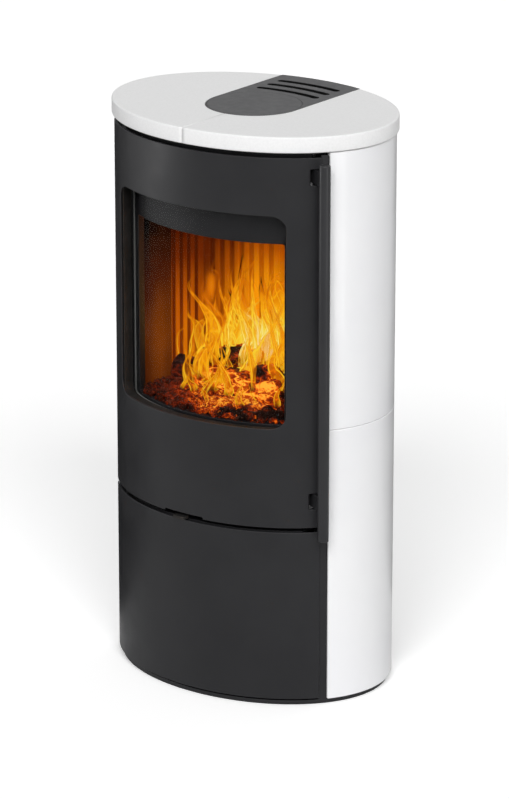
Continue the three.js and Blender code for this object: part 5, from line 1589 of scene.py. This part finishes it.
@dataclass
class FireDoor(Assembly):
    """Curved fire door: skin, pressed inner frame, glass and its gasket.

    Args:
        bottom: Foot of the door.
        top: Head of the door.
        skin: Thickness of the outer skin.
        window: Half-width, bottom, top and corner radius of the window.
        notch: Left end, right end and height of the notch for the air lever.
        arm_heights: Heights of the handle's arms.
        arm_reach: Half-height of an arm's notch.
        arm_turn: Turn at which an arm's notch begins.
        frame_half: Half-width of the inner frame.
        frame_margin: Its distance from the door's foot and head.
        frame_rear: Inset of its rear face.
        setback: How far its window stands back from the skin's.
        sheet: Thickness of its sheet.
        clearance: Gap between pieces that touch.
        glass: Half-width, bottom and top of the glass.
        glass_thickness: Thickness of the glass.
        gasket: Width and thickness of the gasket.
    """

    bottom: float = 0.3345
    top: float = 1.003
    skin: float = 0.004
    window: tuple[float, float, float, float] = (0.181, 0.516, 0.9, 0.025)
    notch: Triple = (-0.048, 0.037, 0.004)
    arm_heights: Pair = (0.3833, 0.9686)
    arm_reach: float = 0.0145
    arm_turn: float = 52.0
    frame_half: float = 0.188
    frame_margin: float = 0.012
    frame_rear: float = 0.024
    setback: float = 0.003
    sheet: float = 0.003
    clearance: float = 0.0003
    glass: Triple = (0.183, 0.502, 0.914)
    glass_thickness: float = 0.004
    gasket: Pair = (0.008, 0.0021)

    def build(self) -> None:
        """Builds the door's pieces."""
        install("door_face", self.skin_mesh(), BLACK_PAINT, Body.DOOR, ["door_skin"])
        install("door_tray", self.tray_mesh(), CAST_BLACK, Body.DOOR, ["door_inner_frame"])
        half, low, high = self.glass
        inset = self.frame_rear + self.clearance
        pane = bent("glass_pane", [rectangle(-half, half, low, high, 0.003)], self.glass_thickness, 0.0004,
                    FaceBend(inset))
        install("glass_pane", pane, FIRE_GLASS, Body.DOOR, ["door_glass"])
        width, thickness = self.gasket
        inset += self.glass_thickness + self.clearance
        high -= self.sheet
        outlines = [
            rectangle(-half, half, low, high, 0.006),
            rectangle(width - half, half - width, low + width, high - width, 0.005),
        ]
        gasket = bent("glass_gasket", outlines, thickness, 0.0009, FaceBend(inset))
        install("glass_gasket", gasket, SEAL_ROPE, Body.DOOR, ["door_gasket"])

    def skin_mesh(self) -> bpy.types.Mesh:
        """Returns the outer skin with its window and notches."""
        edge = DOOR_EDGE[0]
        notch_x = PLAN.point(0, self.arm_turn)[0]
        left, right, tall = self.notch
        corners = [
            (-edge, self.bottom, 0.0015), (left, self.bottom, 0.001), (left, self.bottom + tall, 0.002),
            (right, self.bottom + tall, 0.002), (right, self.bottom, 0.001), (edge, self.bottom, 0.0015),
        ]
        for height in self.arm_heights:
            low, high = height - self.arm_reach, height + self.arm_reach
            corners += [(edge, low, 0.0008), (notch_x, low, 0.002)]
            corners += [(notch_x, high, 0.002), (edge, high, 0.0008)]
        corners += [(edge, self.top, 0.0015), (-edge, self.top, 0.0015)]
        half, low, high, radius = self.window
        window = rectangle(-half, half, low, high, radius)
        bend = FaceBend(0, half + 0.01, edge)
        return bent("door_face", [rounded(corners, 4), window], self.skin, 0.0008, bend)

    def tray_mesh(self) -> bpy.types.Mesh:
        """Returns the inner frame: a rear sheet with a flange round its edge and round the window."""
        front = self.skin + self.clearance
        half, low, high, radius = self.window
        half -= self.setback
        low -= self.setback
        high += self.setback
        side, foot, head = self.frame_half, self.bottom + self.frame_margin, self.top - self.frame_margin
        sheet = self.sheet
        window = rectangle(-half, half, low, high, radius - sheet)
        outer = rectangle(-side, side, foot, head, 0.006)
        depth = self.frame_rear - front
        rim = rectangle(sheet - side, side - sheet, foot + sheet, head - sheet, 0.004)
        surround = rectangle(-half - sheet, half + sheet, low - sheet, high + sheet, radius)
        parts = [
            bent("tray_back", [outer, window], sheet, 0.0006, FaceBend(self.frame_rear - sheet)),
            bent("tray_rim", [outer, rim], depth - 0.0002, 0.0006, FaceBend(front)),
            bent("tray_surround", [surround, window], depth - 0.0002, 0.0006, FaceBend(front)),
        ]
        return joined("door_tray", parts)

    def dress(self) -> None:
        """Gives the door's small parts their finish."""
        dress(["glass_retainer_top", "glass_retainer_bottom", "shaft_bracket_lower", "shaft_bracket_upper",
               "latch_shaft"], SHEET_STEEL)
        dress(["door_hinge_lower", "door_hinge_upper"], CAST_BLACK)


@dataclass
class Handle(Assembly):
    """Full-height bar handle on two arms.

    Args:
        radius: The bar's radius.
        offset: The bar's place in plan, from the door's edge.
        bottom: The bar's foot.
        top: The bar's head.
        chamfer: Rounding of the bar's ends.
        steps: Segments of the rounding.
    """

    radius: float = 0.01
    offset: Pair = (0.01905, -0.01633)
    bottom: float = 0.318
    top: float = 0.996
    chamfer: float = 0.0015
    steps: int = 5

    def build(self) -> None:
        """Builds the bar."""
        turns = [math.pi / 2 * i / self.steps for i in range(self.steps + 1)]
        foot = [
            (self.radius - self.chamfer * (1 - math.sin(a)), self.bottom + self.chamfer * (1 - math.cos(a)))
            for a in turns
        ]
        head = [(r, self.top + self.bottom - z) for r, z in reversed(foot)]
        profile = [(0.0, self.bottom), *foot, *head, (0.0, self.top)]
        x, y = DOOR_EDGE[0] + self.offset[0], DOOR_EDGE[1] + self.offset[1]
        mesh = turned("bar_handle", profile, lambda u, v, w: (x + u, y + v, w), 48)
        install("bar_handle", mesh, HANDLE_PAINT, Body.HANDLE, ["handle_bar"])

    def dress(self) -> None:
        """Gives the arms their finish."""
        dress(["handle_arm_lower", "handle_arm_upper"], BLACK_PAINT)


@dataclass
class LowerDoor(Assembly):
    """Curved door of the lower compartment.

    Args:
        bottom: Foot of the panel.
        top: Head of the panel.
        skin: Thickness of the panel.
    """

    bottom: float = 0.013
    top: float = 0.326
    skin: float = 0.003

    def build(self) -> None:
        """Builds the panel."""
        edge = DOOR_EDGE[0]
        outline = rectangle(-edge, edge, self.bottom, self.top, 0.0015)
        mesh = bent("lower_panel_face", [outline], self.skin, 0.0008, FaceBend(0, edge - 0.03, edge))
        install("lower_panel_face", mesh, BLACK_PAINT, Body.LOWER_DOOR,
                ["lower_door_panel"])

    def dress(self) -> None:
        """Gives the panel's frame its finish."""
        dress(["lower_door_frame"], CAST_BLACK)


@dataclass(frozen=True)
class Collar:
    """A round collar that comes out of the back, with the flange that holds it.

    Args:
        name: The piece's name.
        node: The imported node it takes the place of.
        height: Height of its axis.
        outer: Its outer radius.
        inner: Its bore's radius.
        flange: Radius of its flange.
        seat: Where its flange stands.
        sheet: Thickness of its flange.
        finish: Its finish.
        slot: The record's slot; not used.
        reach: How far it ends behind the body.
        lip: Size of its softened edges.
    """

    name: str
    node: str
    height: float
    outer: float
    inner: float
    flange: float
    seat: float
    sheet: float
    finish: Finish
    slot: Slot
    reach: float = 0.0036
    lip: float = 0.0008

    def build(self) -> None:
        """Builds the collar."""
        face, end, lip = self.seat + self.sheet, PLAN.half_depth + self.reach, self.lip
        profile = [
            (self.inner, self.seat), (self.flange - lip, self.seat), (self.flange, self.seat + lip),
            (self.flange, face - lip), (self.flange - lip, face), (self.outer + lip, face),
            (self.outer, face + lip), (self.outer, end - lip), (self.outer - lip, end),
            (self.inner + lip, end), (self.inner, end - lip),
        ]
        mesh = turned(self.name, profile, lambda u, v, w: (u, w, self.height + v), 72)
        install(self.name, mesh, self.finish, Body.ROOT, [self.node])


FLUE_COLLAR = Collar("flue_spigot", "flue_collar", 0.918, 0.075, 0.071, 0.084, 0.1203, 0.004, CAST_BLACK,
                     Slot.CAST_BLACK)
AIR_COLLAR = Collar("air_spigot", "air_inlet_collar", 0.262, 0.05, 0.047, 0.056, 0.1503, 0.003, SHEET_STEEL,
                    Slot.SHEET_STEEL)


@dataclass
class Firebox(Assembly):
    """Front frame, casing, lining, grate and collars.

    Args:
        inset: Inset of the front frame.
        thickness: Thickness of the front frame.
        half: Half-width of the front frame.
        bottom: Foot of the front frame.
        top: Head of the front frame.
        fire: Half-width, bottom and top of the fire opening.
        ash: Half-width, bottom and top of the ash pan's opening.
        header: Half-width, foot, head and inset of the sheet that closes the casing above the frame.
        blank: Radius, underside and top of the plate that blanks the top outlet.
        screws: The frame's screws, as distance along and height.
    """

    inset: float = 0.031
    thickness: float = 0.014
    half: float = 0.184
    bottom: float = 0.343
    top: float = 0.964
    fire: Triple = (0.160, 0.515, 0.842)
    ash: Triple = (0.094, 0.3993, 0.4656)
    header: tuple[float, float, float, float] = (0.176, 0.9643, 0.9962, 0.036)
    blank: Triple = (0.082, 1.0008, 1.0048)
    screws: tuple[Pair, ...] = (
        (-0.172, 0.36), (0.172, 0.36), (-0.172, 0.485), (0.172, 0.485), (-0.172, 0.952), (0.172, 0.952),
        (-0.09, 0.952), (0.0, 0.952), (0.09, 0.952),
    )

    def build(self) -> None:
        """Builds the front frame and the collars."""
        holes = [rectangle(-half, half, low, high, 0.004) for half, low, high in (self.fire, self.ash)]
        outline = rectangle(-self.half, self.half, self.bottom, self.top, 0.004)
        mesh = bent("front_frame", [outline, *holes], self.thickness, 0.0012, FaceBend(self.inset))
        install("front_frame", mesh, BLACK_PAINT, Body.ROOT, ["fire_frame"])
        half, low, high, inset = self.header
        outline = rectangle(-half, half, low, high, 0.001)
        mesh = bent("frame_header", [outline], 0.002, 0.0005, FaceBend(inset))
        install("frame_header", mesh, BLACK_PAINT, Body.ROOT)
        mesh = Screws().placed("frame_screws", FaceBend(self.inset), self.screws, SHEET_STEEL)
        install("frame_screws", mesh, SHEET_STEEL, Body.ROOT)
        for collar in (FLUE_COLLAR, AIR_COLLAR):
            collar.build()
        radius, under, top = self.blank
        mesh = plate("outlet_blank", [circle((0, 0), radius)], under, top, 0.0006)
        install("outlet_blank", mesh, CAST_BLACK, Body.ROOT, ["top_outlet_blank"])

    def dress(self) -> None:
        """Gives the casing, lining and grate their finishes."""
        dress(["firebox_casing", "hearth_shelf", "casing_roof", "latch_catch_lower", "latch_catch_upper",
               "air_box", "air_duct", "ash_pan"], SHEET_STEEL)
        dress([f"{door}_hinge_bracket_{level}" for door in ("door", "panel") for level in ("lower", "upper")],
              CAST_BLACK)
        dress(["back_brick_left", "back_brick_right"], BACK_BRICK_FIRELIGHT, 0.0012)
        dress(["side_brick_left", "side_brick_right"], SIDE_BRICK_FIRELIGHT, 0.0012)
        bricks = ["hearth_brick", "baffle"]
        dress([f"{brick}_{side}" for brick in bricks for side in ("left", "right")], FIRE_BRICK, 0.0012)
        dress(["cheek_left", "cheek_right"], CHEEK_BRICK, 0.0012)
        dress(["grate", "log_guard", "air_slide"], CAST_BLACK, 0.001)


def shell(name: str, front: Sequence[Sequence[Vector]], back: Sequence[Sequence[Vector]],
          labels: Callable[[int, int], Pair]) -> bpy.types.Mesh:
    """Makes a closed body between two grids that meet at their borders.

    Args:
        name: The mesh's name.
        front: Rows of points on one side.
        back: Rows of points on the other side.
        labels: The UV coordinates at a row and a column.

    Returns:
        The mesh, with a UV map named flame.
    """
    work = bmesh.new()
    layer = work.loops.layers.uv.new("flame")
    for grid in (front, back):
        places = {}
        rows = []
        for i, row in enumerate(grid):
            rows.append([work.verts.new(point) for point in row])
            places.update({vertex: (i, j) for j, vertex in enumerate(rows[-1])})
        for i in range(len(rows) - 1):
            for j in range(len(rows[0]) - 1):
                face = work.faces.new((rows[i][j], rows[i][j + 1], rows[i + 1][j + 1], rows[i + 1][j]))
                for loop in face.loops:
                    loop[layer].uv = labels(*places[loop.vert])
    bmesh.ops.dissolve_degenerate(work, dist=MERGE, edges=work.edges)
    return settle(name, work, 80)


# Inset of the front of what is strewn behind the log guard.
GUARD_INSET = 0.0565


def grid_mesh(name: str, rows: Sequence[tuple[Triple, Triple]]) -> bpy.types.Mesh:
    """Makes an open strip from pairs of points across it."""
    mesh = bpy.data.meshes.new(name)
    points = [point for row in rows for point in row]
    mesh.from_pydata(points, [], [(2 * i, 2 * i + 2, 2 * i + 3, 2 * i + 1) for i in range(len(rows) - 1)])
    return mesh


@dataclass(frozen=True)
class Area:
    """A flat patch of the hearth that small shapes are spread over.

    Args:
        left: Its left end.
        right: Its right end.
        rear: Its rear edge.
        height: Its height.
        front: Its front edge, or None where it follows the log guard.
    """

    left: float
    right: float
    rear: float
    height: float
    front: float | None = None

    def mesh(self, name: str) -> bpy.types.Mesh:
        """Returns the patch."""
        columns = 16
        rows = []
        for i in range(columns + 1):
            x = self.left + (self.right - self.left) * i / columns
            near = PLAN.front(GUARD_INSET, x) if self.front is None else self.front
            rows.append(((x, near, self.height), (x, max(self.rear, near + 0.01), self.height)))
        return grid_mesh(name, rows)


ALL_WAYS = (3.1, 3.1, 3.1)
LOGS = (
    ("split_log_rear", (-0.125, 0.012, 0.545), (0.135, 0.034, 0.552), 0.036),
    ("split_log_front", (-0.142, -0.052, 0.538), (0.118, -0.078, 0.541), 0.031),
    ("split_log_upper", (-0.075, -0.066, 0.571), (0.055, 0.036, 0.586), 0.024),
    ("split_log_right", (0.056, -0.08, 0.568), (0.128, 0.036, 0.586), 0.023),
)
TONGUES = (
    ("flames_tall", Area(-0.07, 0.11, 0.04, 0.55, -0.06),
     Scatter(1500, 1.3, 2.6, (0.08, 0.08, 3.1), 9), LICK),
    ("flames_middle", Area(-0.07, 0.12, -0.05, 0.545, -0.11),
     Scatter(1100, 0.7, 1.5, (0.25, 0.25, 3.1), 7), LICK),
    ("flames_left", Area(-0.14, -0.05, 0.03, 0.54, -0.06),
     Scatter(420, 0.9, 1.8, (0.15, 0.15, 3.1), 5), WISP),
    ("flames_low", Area(-0.1, 0.15, -0.06, 0.53),
     Scatter(900, 0.5, 1.1, (0.5, 0.5, 3.1), 6), WISP),
)
CURTAINS = (
    ("flame_sheet_rear", (-0.14, 0.045), (0.15, 0.052), 0.27),
    ("flame_sheet_middle", (-0.07, -0.005), (0.14, -0.02), 0.25),
)


@dataclass
class Fire(Assembly):
    """The fire in the photograph, as the firebox's contents: split logs, embers and flames.

    Args:
        hearth: Height of the hearth.
        bed: Half-width and rear edge of the ember bed.
        bed_tall: Height of the bed.
        sill: Insets and heights of the foot and head of the embers' slope behind the sill.
        seed: Seed of the shapes of the logs, embers, tongues and sheets.
        glass: Inset from which the door's glass presses the flames back.
    """

    hearth: float = 0.5055
    bed: Pair = (0.152, 0.052)
    bed_tall: float = 0.03
    sill: tuple[Pair, Pair] = ((0.0365, 0.5175), (0.051, 0.531))
    seed: int = 11
    glass: float = 0.0365

    def build(self) -> None:
        """Builds the logs, the ember bed, the loose embers and the flames."""
        for number, (name, start, end, radius) in enumerate(LOGS):
            mesh = self.log(name, Vector(start), Vector(end), radius, self.seed + number)
            install(name, mesh, CHARRED_WOOD, Body.ROOT)
        install("ember_bed", self.bed_mesh(), EMBERS, Body.ROOT)
        chunks = [self.chunk(f"chunk_{i}", self.seed + i) for i in range(5)]
        heaps = (
            ("loose_embers", Area(-0.145, 0.145, 0.05, self.hearth + 0.022).mesh("ember_patch"),
             Scatter(9000, 0.6, 1.7, ALL_WAYS, self.seed)),
            ("sill_embers", self.sill_patch("sill_patch"),
             Scatter(42000, 0.45, 0.85, ALL_WAYS, self.seed + 1)),
        )
        for name, surface, scatter in heaps:
            install(name, scatter.spread(name, surface, chunks, EMBERS), EMBERS, Body.ROOT)
        tongues = [self.tongue(f"tongue_{i}", self.seed + i) for i in range(12)]
        for name, area, scatter, finish in TONGUES:
            mesh = scatter.spread(name, area.mesh(name + "_patch"), tongues, finish)
            self.hold_back(mesh)
            install(name, mesh, finish, Body.ROOT)
        for number, (name, start, end, tall) in enumerate(CURTAINS):
            mesh = self.curtain(name, Vector(start), Vector(end), tall, self.seed + number)
            install(name, mesh, FLAME, Body.ROOT)
        self.add_glow()

    def add_glow(self) -> None:
        """Adds the warm light that the flames throw on the lining."""
        for name, place, power, size in (
            ("flame_light", (0.01, 0.0, 0.64), 3.4, 0.06), ("ember_light", (-0.02, -0.06, 0.57), 0.7, 0.05),
        ):
            data = bpy.data.lights.new(name, "POINT")
            data.energy = power
            data.color = (1.0, 0.27, 0.01)
            data.shadow_soft_size = size
            lamp = bpy.data.objects.new(name, data)
            lamp.location = place
            lamp.visible_glossy = False
            bpy.context.scene.collection.objects.link(lamp)

    def hold_back(self, mesh: bpy.types.Mesh) -> None:
        """Presses the tongues that reach the door's glass back behind it."""
        for vertex in mesh.vertices:
            limit = PLAN.front(self.glass, vertex.co.x)
            if vertex.co.y < limit:
                vertex.co.y = limit + (vertex.co.y - limit) * 0.2

    def sill_patch(self, name: str) -> bpy.types.Mesh:
        """Returns a slope from the front frame's sill up to the log guard."""
        reach, columns = 42, 30
        rows = []
        for i in range(columns + 1):
            turn = 2 * reach * i / columns - reach
            rows.append(tuple((*PLAN.point(inset, turn), height) for inset, height in self.sill))
        return grid_mesh(name, rows)

    def bed_mesh(self) -> bpy.types.Mesh:
        """Returns the heaped ember bed."""
        half, rear = self.bed
        columns, rows = 84, 44
        top, bottom = [], []
        for j in range(rows + 1):
            up, down = [], []
            for i in range(columns + 1):
                s, t = i / columns, j / rows
                x = half * (2 * s - 1)
                near = PLAN.front(0.0545, x)
                y = near + (rear - near) * t
                border = min(1.0, 9 * min(s, 1 - s), 7 * min(t, 1 - t))
                lump = 0.55 + 0.6 * noise.noise(Vector((x, y, 0.3)) * 42)
                lump += 0.3 * noise.noise(Vector((x, y, 0)) * 120)
                up.append(Vector((x, y, self.hearth + self.bed_tall * math.sqrt(border) * max(0.15, lump))))
                down.append(Vector((x, y, self.hearth)))
            for edge in (0, -1):
                up[edge] = down[edge].copy()
            top.append(up if 0 < j < rows else [point.copy() for point in down])
            bottom.append(down)
        return shell("ember_bed", top, bottom, lambda i, j: (j / columns, i / rows))

    def chunk(self, name: str, seed: int) -> bpy.types.Mesh:
        """Returns a small broken ember about the origin."""
        draw = random.Random(seed)
        work = bmesh.new()
        bmesh.ops.create_icosphere(work, subdivisions=2, radius=0.0062)
        shift = Vector((draw.random(), draw.random(), draw.random())) * 50
        for vertex in work.verts:
            vertex.co *= 1 + 0.55 * noise.noise(vertex.co * 190 + shift)
            vertex.co.z *= 0.7
        return settle(name, work, 25)

    def log(self, name: str, start: Vector, end: Vector, radius: float, seed: int) -> bpy.types.Mesh:
        """Returns a split log with a bark side and two rough split faces.

        Args:
            name: The mesh's name.
            start: One end of its axis.
            end: The other end.
            radius: Its radius.
            seed: Seed of its shape.

        Returns:
            The mesh.
        """
        draw = random.Random(seed)
        axis = (end - start).normalized()
        across = axis.cross(Vector((0, 0, 1))).normalized()
        rise = across.cross(axis)
        roll = draw.uniform(0, math.tau)
        shift = Vector((draw.random(), draw.random(), draw.random())) * 30
        sides, steps = 40, 64
        rings = []
        for k in range(steps + 1):
            share = k / steps
            ends = min(1.0, 14 * min(share, 1 - share) + 0.12)
            centre = start.lerp(end, share)
            ring = []
            for i in range(sides):
                angle = math.tau * i / sides
                wedge = 1.0 if math.cos(angle) > -0.2 else 1.0 + 0.45 * (math.cos(angle) + 0.2)
                spot = Vector((math.cos(angle) * 2.2, math.sin(angle) * 2.2, share * 5)) + shift
                rough = 1 + 0.16 * noise.noise(spot) + 0.1 * noise.noise(spot * 3.1)
                rough += 0.06 * noise.noise(spot * 7)
                reach = radius * wedge * rough * math.sqrt(ends)
                turn = angle + roll
                ring.append(tuple(centre + (across * math.cos(turn) + rise * math.sin(turn)) * reach))
            rings.append(ring)
        return loft(name, rings, 60)

    def tongue(self, name: str, seed: int) -> bpy.types.Mesh:
        """Returns a curling tongue of flame, 0.1 tall, that stands at the origin."""
        draw = random.Random(seed)
        phase, curl, lean = draw.uniform(0, math.tau), draw.uniform(0.9, 2.1), draw.uniform(-0.01, 0.01)
        wide, twist = draw.uniform(0.007, 0.019), draw.uniform(-1.6, 1.6)
        rows, columns = 30, 8
        front, back = [], []
        for i in range(rows + 1):
            rise = i / rows
            spine = Vector((
                lean * rise + 0.015 * rise ** 0.8 * math.sin(phase + 5 * curl * rise),
                0.01 * rise * math.cos(phase + 4 * curl * rise),
                0.1 * rise + 0.006 * math.sin(9 * rise + phase) * rise,
            ))
            belly = math.sin(math.pi * min(1.0, rise * 1.5 + 0.1) ** 0.9)
            width = wide * (0.35 + 0.65 * belly) * (1 - rise ** 1.6)
            turn = twist * rise
            reach = Vector((math.cos(turn), math.sin(turn), 0))
            out = Vector((-math.sin(turn), math.cos(turn), 0))
            near, far = [], []
            for j in range(columns + 1):
                side = 2 * j / columns - 1
                bulge = 0 if i in (0, rows) else 0.22 * width * (1 - side * side)
                place = spine + reach * (width * side)
                near.append(place + out * bulge)
                far.append(place - out * bulge)
            front.append(near)
            back.append(far)
        return shell(name, front, back, lambda i, j: (1 - abs(2 * j / columns - 1), i / rows))

    def curtain(self, name: str, start: Vector, end: Vector, tall: float, seed: int) -> bpy.types.Mesh:
        """Returns a wavering sheet of flame with a ragged top.

        Args:
            name: The mesh's name.
            start: Plan point of one end.
            end: Plan point of the other end.
            tall: Height of its tallest tongue.
            seed: Seed of its crest. Its sway isn't seeded, and differs from run to run.

        Returns:
            The mesh.
        """
        draw = random.Random(seed)
        count = 8
        peaks = [
            ((i + draw.random()) / count, draw.uniform(0.04, 0.09),
             draw.uniform(0.35, 0.6) + 0.5 * math.sin(2.2 * i / count))
            for i in range(count)
        ]
        along = end - start
        out = Vector((-along.y, along.x, 0)).normalized()
        rows, columns = 30, 90
        front, back = [], []
        for i in range(rows + 1):
            rise = i / rows
            near, far = [], []
            for j in range(columns + 1):
                share = j / columns
                crest = 0.2 + max(
                    height * math.exp(-((share - middle) / width) ** 2) for middle, width, height in peaks
                )
                z = tall * min(1.0, crest) * rise
                sway = Vector(noise.noise_vector(Vector((share * 3.5, z * 13, seed)))) * 0.03 * rise
                ripple = 0.01 * math.sin(share * 19 + seed) + 0.006 * math.sin(share * 43 + z * 30)
                flat = start + along * share
                place = Vector((flat.x, flat.y, 0.528 + z)) + Vector((sway.x, sway.y, 0)) + out * ripple
                border = i in (0, rows) or j in (0, columns)
                near.append(place + out * (0 if border else 0.0006))
                far.append(place - out * (0 if border else 0.0006))
            front.append(near)
            back.append(far)
        return shell(name, front, back, lambda i, j: (min(1.0, 7 * min(j, columns - j) / columns), i / rows))


# ---- Studio ----


@dataclass
class Studio:
    """Plain pale floor, soft lamps, and the camera at the photograph's angle.

    Args:
        distance: Distance of the camera from the stove's axis.
        azimuth: Turn of the camera round the stove in degrees.
        height: Height of the camera.
        tilt: How far it looks down, in degrees.
        lens: Focal length on a sensor whose long side is 36.
        ambient: Brightness of the surroundings on the object.
        key: Strength of each main light.
        key_lift: Height of the main lights as an angle in degrees.
        key_spread: Breadth of the main lights in degrees.
        floor_lift: Light added to the floor as the camera sees it.
    """

    distance: float = 7.354
    azimuth: float = 36.92
    height: float = 2.920
    tilt: float = 18.24
    lens: float = 195.31
    ambient: float = 0.33
    key: float = 1.18
    key_lift: float = 38.0
    key_spread: float = 22.0
    floor_lift: float = 0.27

    def build(self) -> None:
        """Builds the camera, the floor, the surroundings and the lamps."""
        self.add_camera()
        self.add_floor()
        self.add_surroundings()
        for name, turn in (("key_sky_left", -14), ("key_sky_right", 14)):
            self.add_sky(name, self.azimuth + turn)
        self.add_strip("strip_left", -54, 2.4, 0.78, (0.56, 1.0), 10)
        self.add_strip("strip_right", 82, 2.4, 0.6, (0.5, 1.8), 10)
        self.add_flag("flag_left", -135, (0.26, 1.6), (3.4, 1.25))
        bpy.context.scene.view_settings.view_transform = "Standard"

    def add_camera(self) -> None:
        """Makes the scene's camera."""
        data = bpy.data.cameras.new("photo_camera")
        data.lens = self.lens
        data.sensor_width = 36
        camera = bpy.data.objects.new("photo_camera", data)
        turn = math.radians(self.azimuth)
        camera.location = (self.distance * math.sin(turn), -self.distance * math.cos(turn), self.height)
        camera.rotation_euler = (math.radians(90 - self.tilt), 0, turn)
        bpy.context.scene.collection.objects.link(camera)
        bpy.context.scene.camera = camera

    def add_floor(self) -> None:
        """Makes the floor, which keeps the object's shadow."""
        work = bmesh.new()
        bmesh.ops.create_grid(work, x_segments=8, y_segments=8, size=30)
        mesh = bpy.data.meshes.new("studio_floor")
        work.to_mesh(mesh)
        work.free()
        floor = bpy.data.objects.new("studio_floor", mesh)
        bpy.context.scene.collection.objects.link(floor)
        tree = Tree(bpy.data.materials.new("studio_floor"))
        seen = tree.add("LightPath").outputs["Is Camera Ray"]
        diffuse = tree.add("BsdfDiffuse", {"Color": tree.blend(seen, (0.82, 0.82, 0.82), (1.0, 1.0, 1.0))})
        lift = tree.maths("MULTIPLY", seen, self.floor_lift)
        glow = tree.add("Emission", {"Color": (1, 1, 1, 1), "Strength": lift})
        both = tree.add("AddShader", {0: diffuse.outputs[0], 1: glow.outputs[0]})
        tree.add("OutputMaterial", {"Surface": both.outputs[0]})
        mesh.materials.append(tree.owner)

    def add_surroundings(self) -> None:
        """Makes a white world that lights the object softly."""
        world = bpy.data.worlds.new("studio_surroundings")
        tree = Tree(world)
        path = tree.add("LightPath").outputs
        mirrored = tree.maths("MAXIMUM", path["Is Glossy Ray"], path["Is Transmission Ray"])
        seen = tree.maths("MAXIMUM", path["Is Camera Ray"], mirrored)
        strength = tree.add("MapRange", {0: seen, 3: self.ambient, 4: 1.0}).outputs[0]
        sky = tree.add("Background", {0: (1, 1, 1, 1), 1: strength}).outputs[0]
        tree.add("OutputWorld", {0: sky})
        bpy.context.scene.world = world

    def add_sky(self, name: str, azimuth: float) -> None:
        """Makes a broad soft light, as from a large window.

        Args:
            name: The light's name.
            azimuth: Its turn round the stove in degrees.
        """
        data = bpy.data.lights.new(name, "SUN")
        data.energy = self.key
        data.angle = math.radians(self.key_spread)
        self.aim(name, data, azimuth, self.key_lift, 4.0, 0.5)

    def add_strip(self, name: str, azimuth: float, distance: float, height: float, size: Pair,
                  power: float) -> None:
        """Makes an upright strip lamp, which only glosses: a soft line of light on the doors.

        Args:
            name: The lamp's name.
            azimuth: Its turn round the stove in degrees.
            distance: Its distance from the stove's axis.
            height: Height of its middle.
            size: Its width and height.
            power: Its power in watts.
        """
        data = bpy.data.lights.new(name, "AREA")
        data.shape = "RECTANGLE"
        data.size, data.size_y = size
        data.energy = power
        self.aim(name, data, azimuth, 0.0, distance, height).visible_diffuse = False

    def add_flag(self, name: str, azimuth: float, reach: Pair, size: Pair) -> None:
        """Makes a black cloth, seen only in gloss, that lies on the floor and stands up behind.

        It darkens one edge of the stove, as such a cloth does in a studio.

        Args:
            name: The cloth's name.
            azimuth: Its turn round the stove in degrees.
            reach: Distance of its near edge and of its fold from the stove's axis.
            size: Its width, and the height to which it stands up.
        """
        turn = math.radians(azimuth)
        across = Vector((math.cos(turn), math.sin(turn), 0)) * size[0] / 2
        away = Vector((math.sin(turn), -math.cos(turn), 0))
        rows = [away * reach[0] + Vector((0, 0, 0.002)), away * reach[1] + Vector((0, 0, 0.002)),
                away * reach[1] + Vector((0, 0, size[1]))]
        points = [tuple(row + side) for row in rows for side in (-across, across)]
        mesh = bpy.data.meshes.new(name)
        mesh.from_pydata(points, [], [(0, 1, 3, 2), (2, 3, 5, 4)])
        tree = Tree(bpy.data.materials.new(name))
        cloth = tree.add("BsdfDiffuse", {"Color": (0.01, 0.01, 0.01, 1)})
        tree.add("OutputMaterial", {"Surface": cloth.outputs[0]})
        mesh.materials.append(tree.owner)
        flag = bpy.data.objects.new(name, mesh)
        bpy.context.scene.collection.objects.link(flag)
        flag.visible_camera = flag.visible_diffuse = flag.visible_transmission = flag.visible_shadow = False

    def aim(self, name: str, data: bpy.types.Light, azimuth: float, lift: float, distance: float,
            height: float) -> bpy.types.Object:
        """Puts a light round the stove and points it at the axis.

        Args:
            name: The light's name.
            data: The light.
            azimuth: Its turn round the stove in degrees.
            lift: Its height as an angle in degrees.
            distance: Its distance from the stove's axis.
            height: Height that it points at.

        Returns:
            The light's object.
        """
        lamp = bpy.data.objects.new(name, data)
        turn, rise = math.radians(azimuth), math.radians(lift)
        back = Vector((math.sin(turn) * math.cos(rise), -math.cos(turn) * math.cos(rise), math.sin(rise)))
        lamp.location = Vector((0, 0, height)) + back * distance
        lamp.rotation_euler = back.to_track_quat("Z", "Y").to_euler()
        bpy.context.scene.collection.objects.link(lamp)
        return lamp


def main() -> None:
    """Builds the stove and the studio."""
    logging.basicConfig(level=logging.INFO, format="%(name)s %(message)s")
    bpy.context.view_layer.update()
    Studio().build()
    for assembly in (Carcass(), TopStone(), Tiles(), Firebox(), FireDoor(), Handle(), LowerDoor(), Fire()):
        assembly.build()
        assembly.dress()


if __name__ == "__main__":
    main()
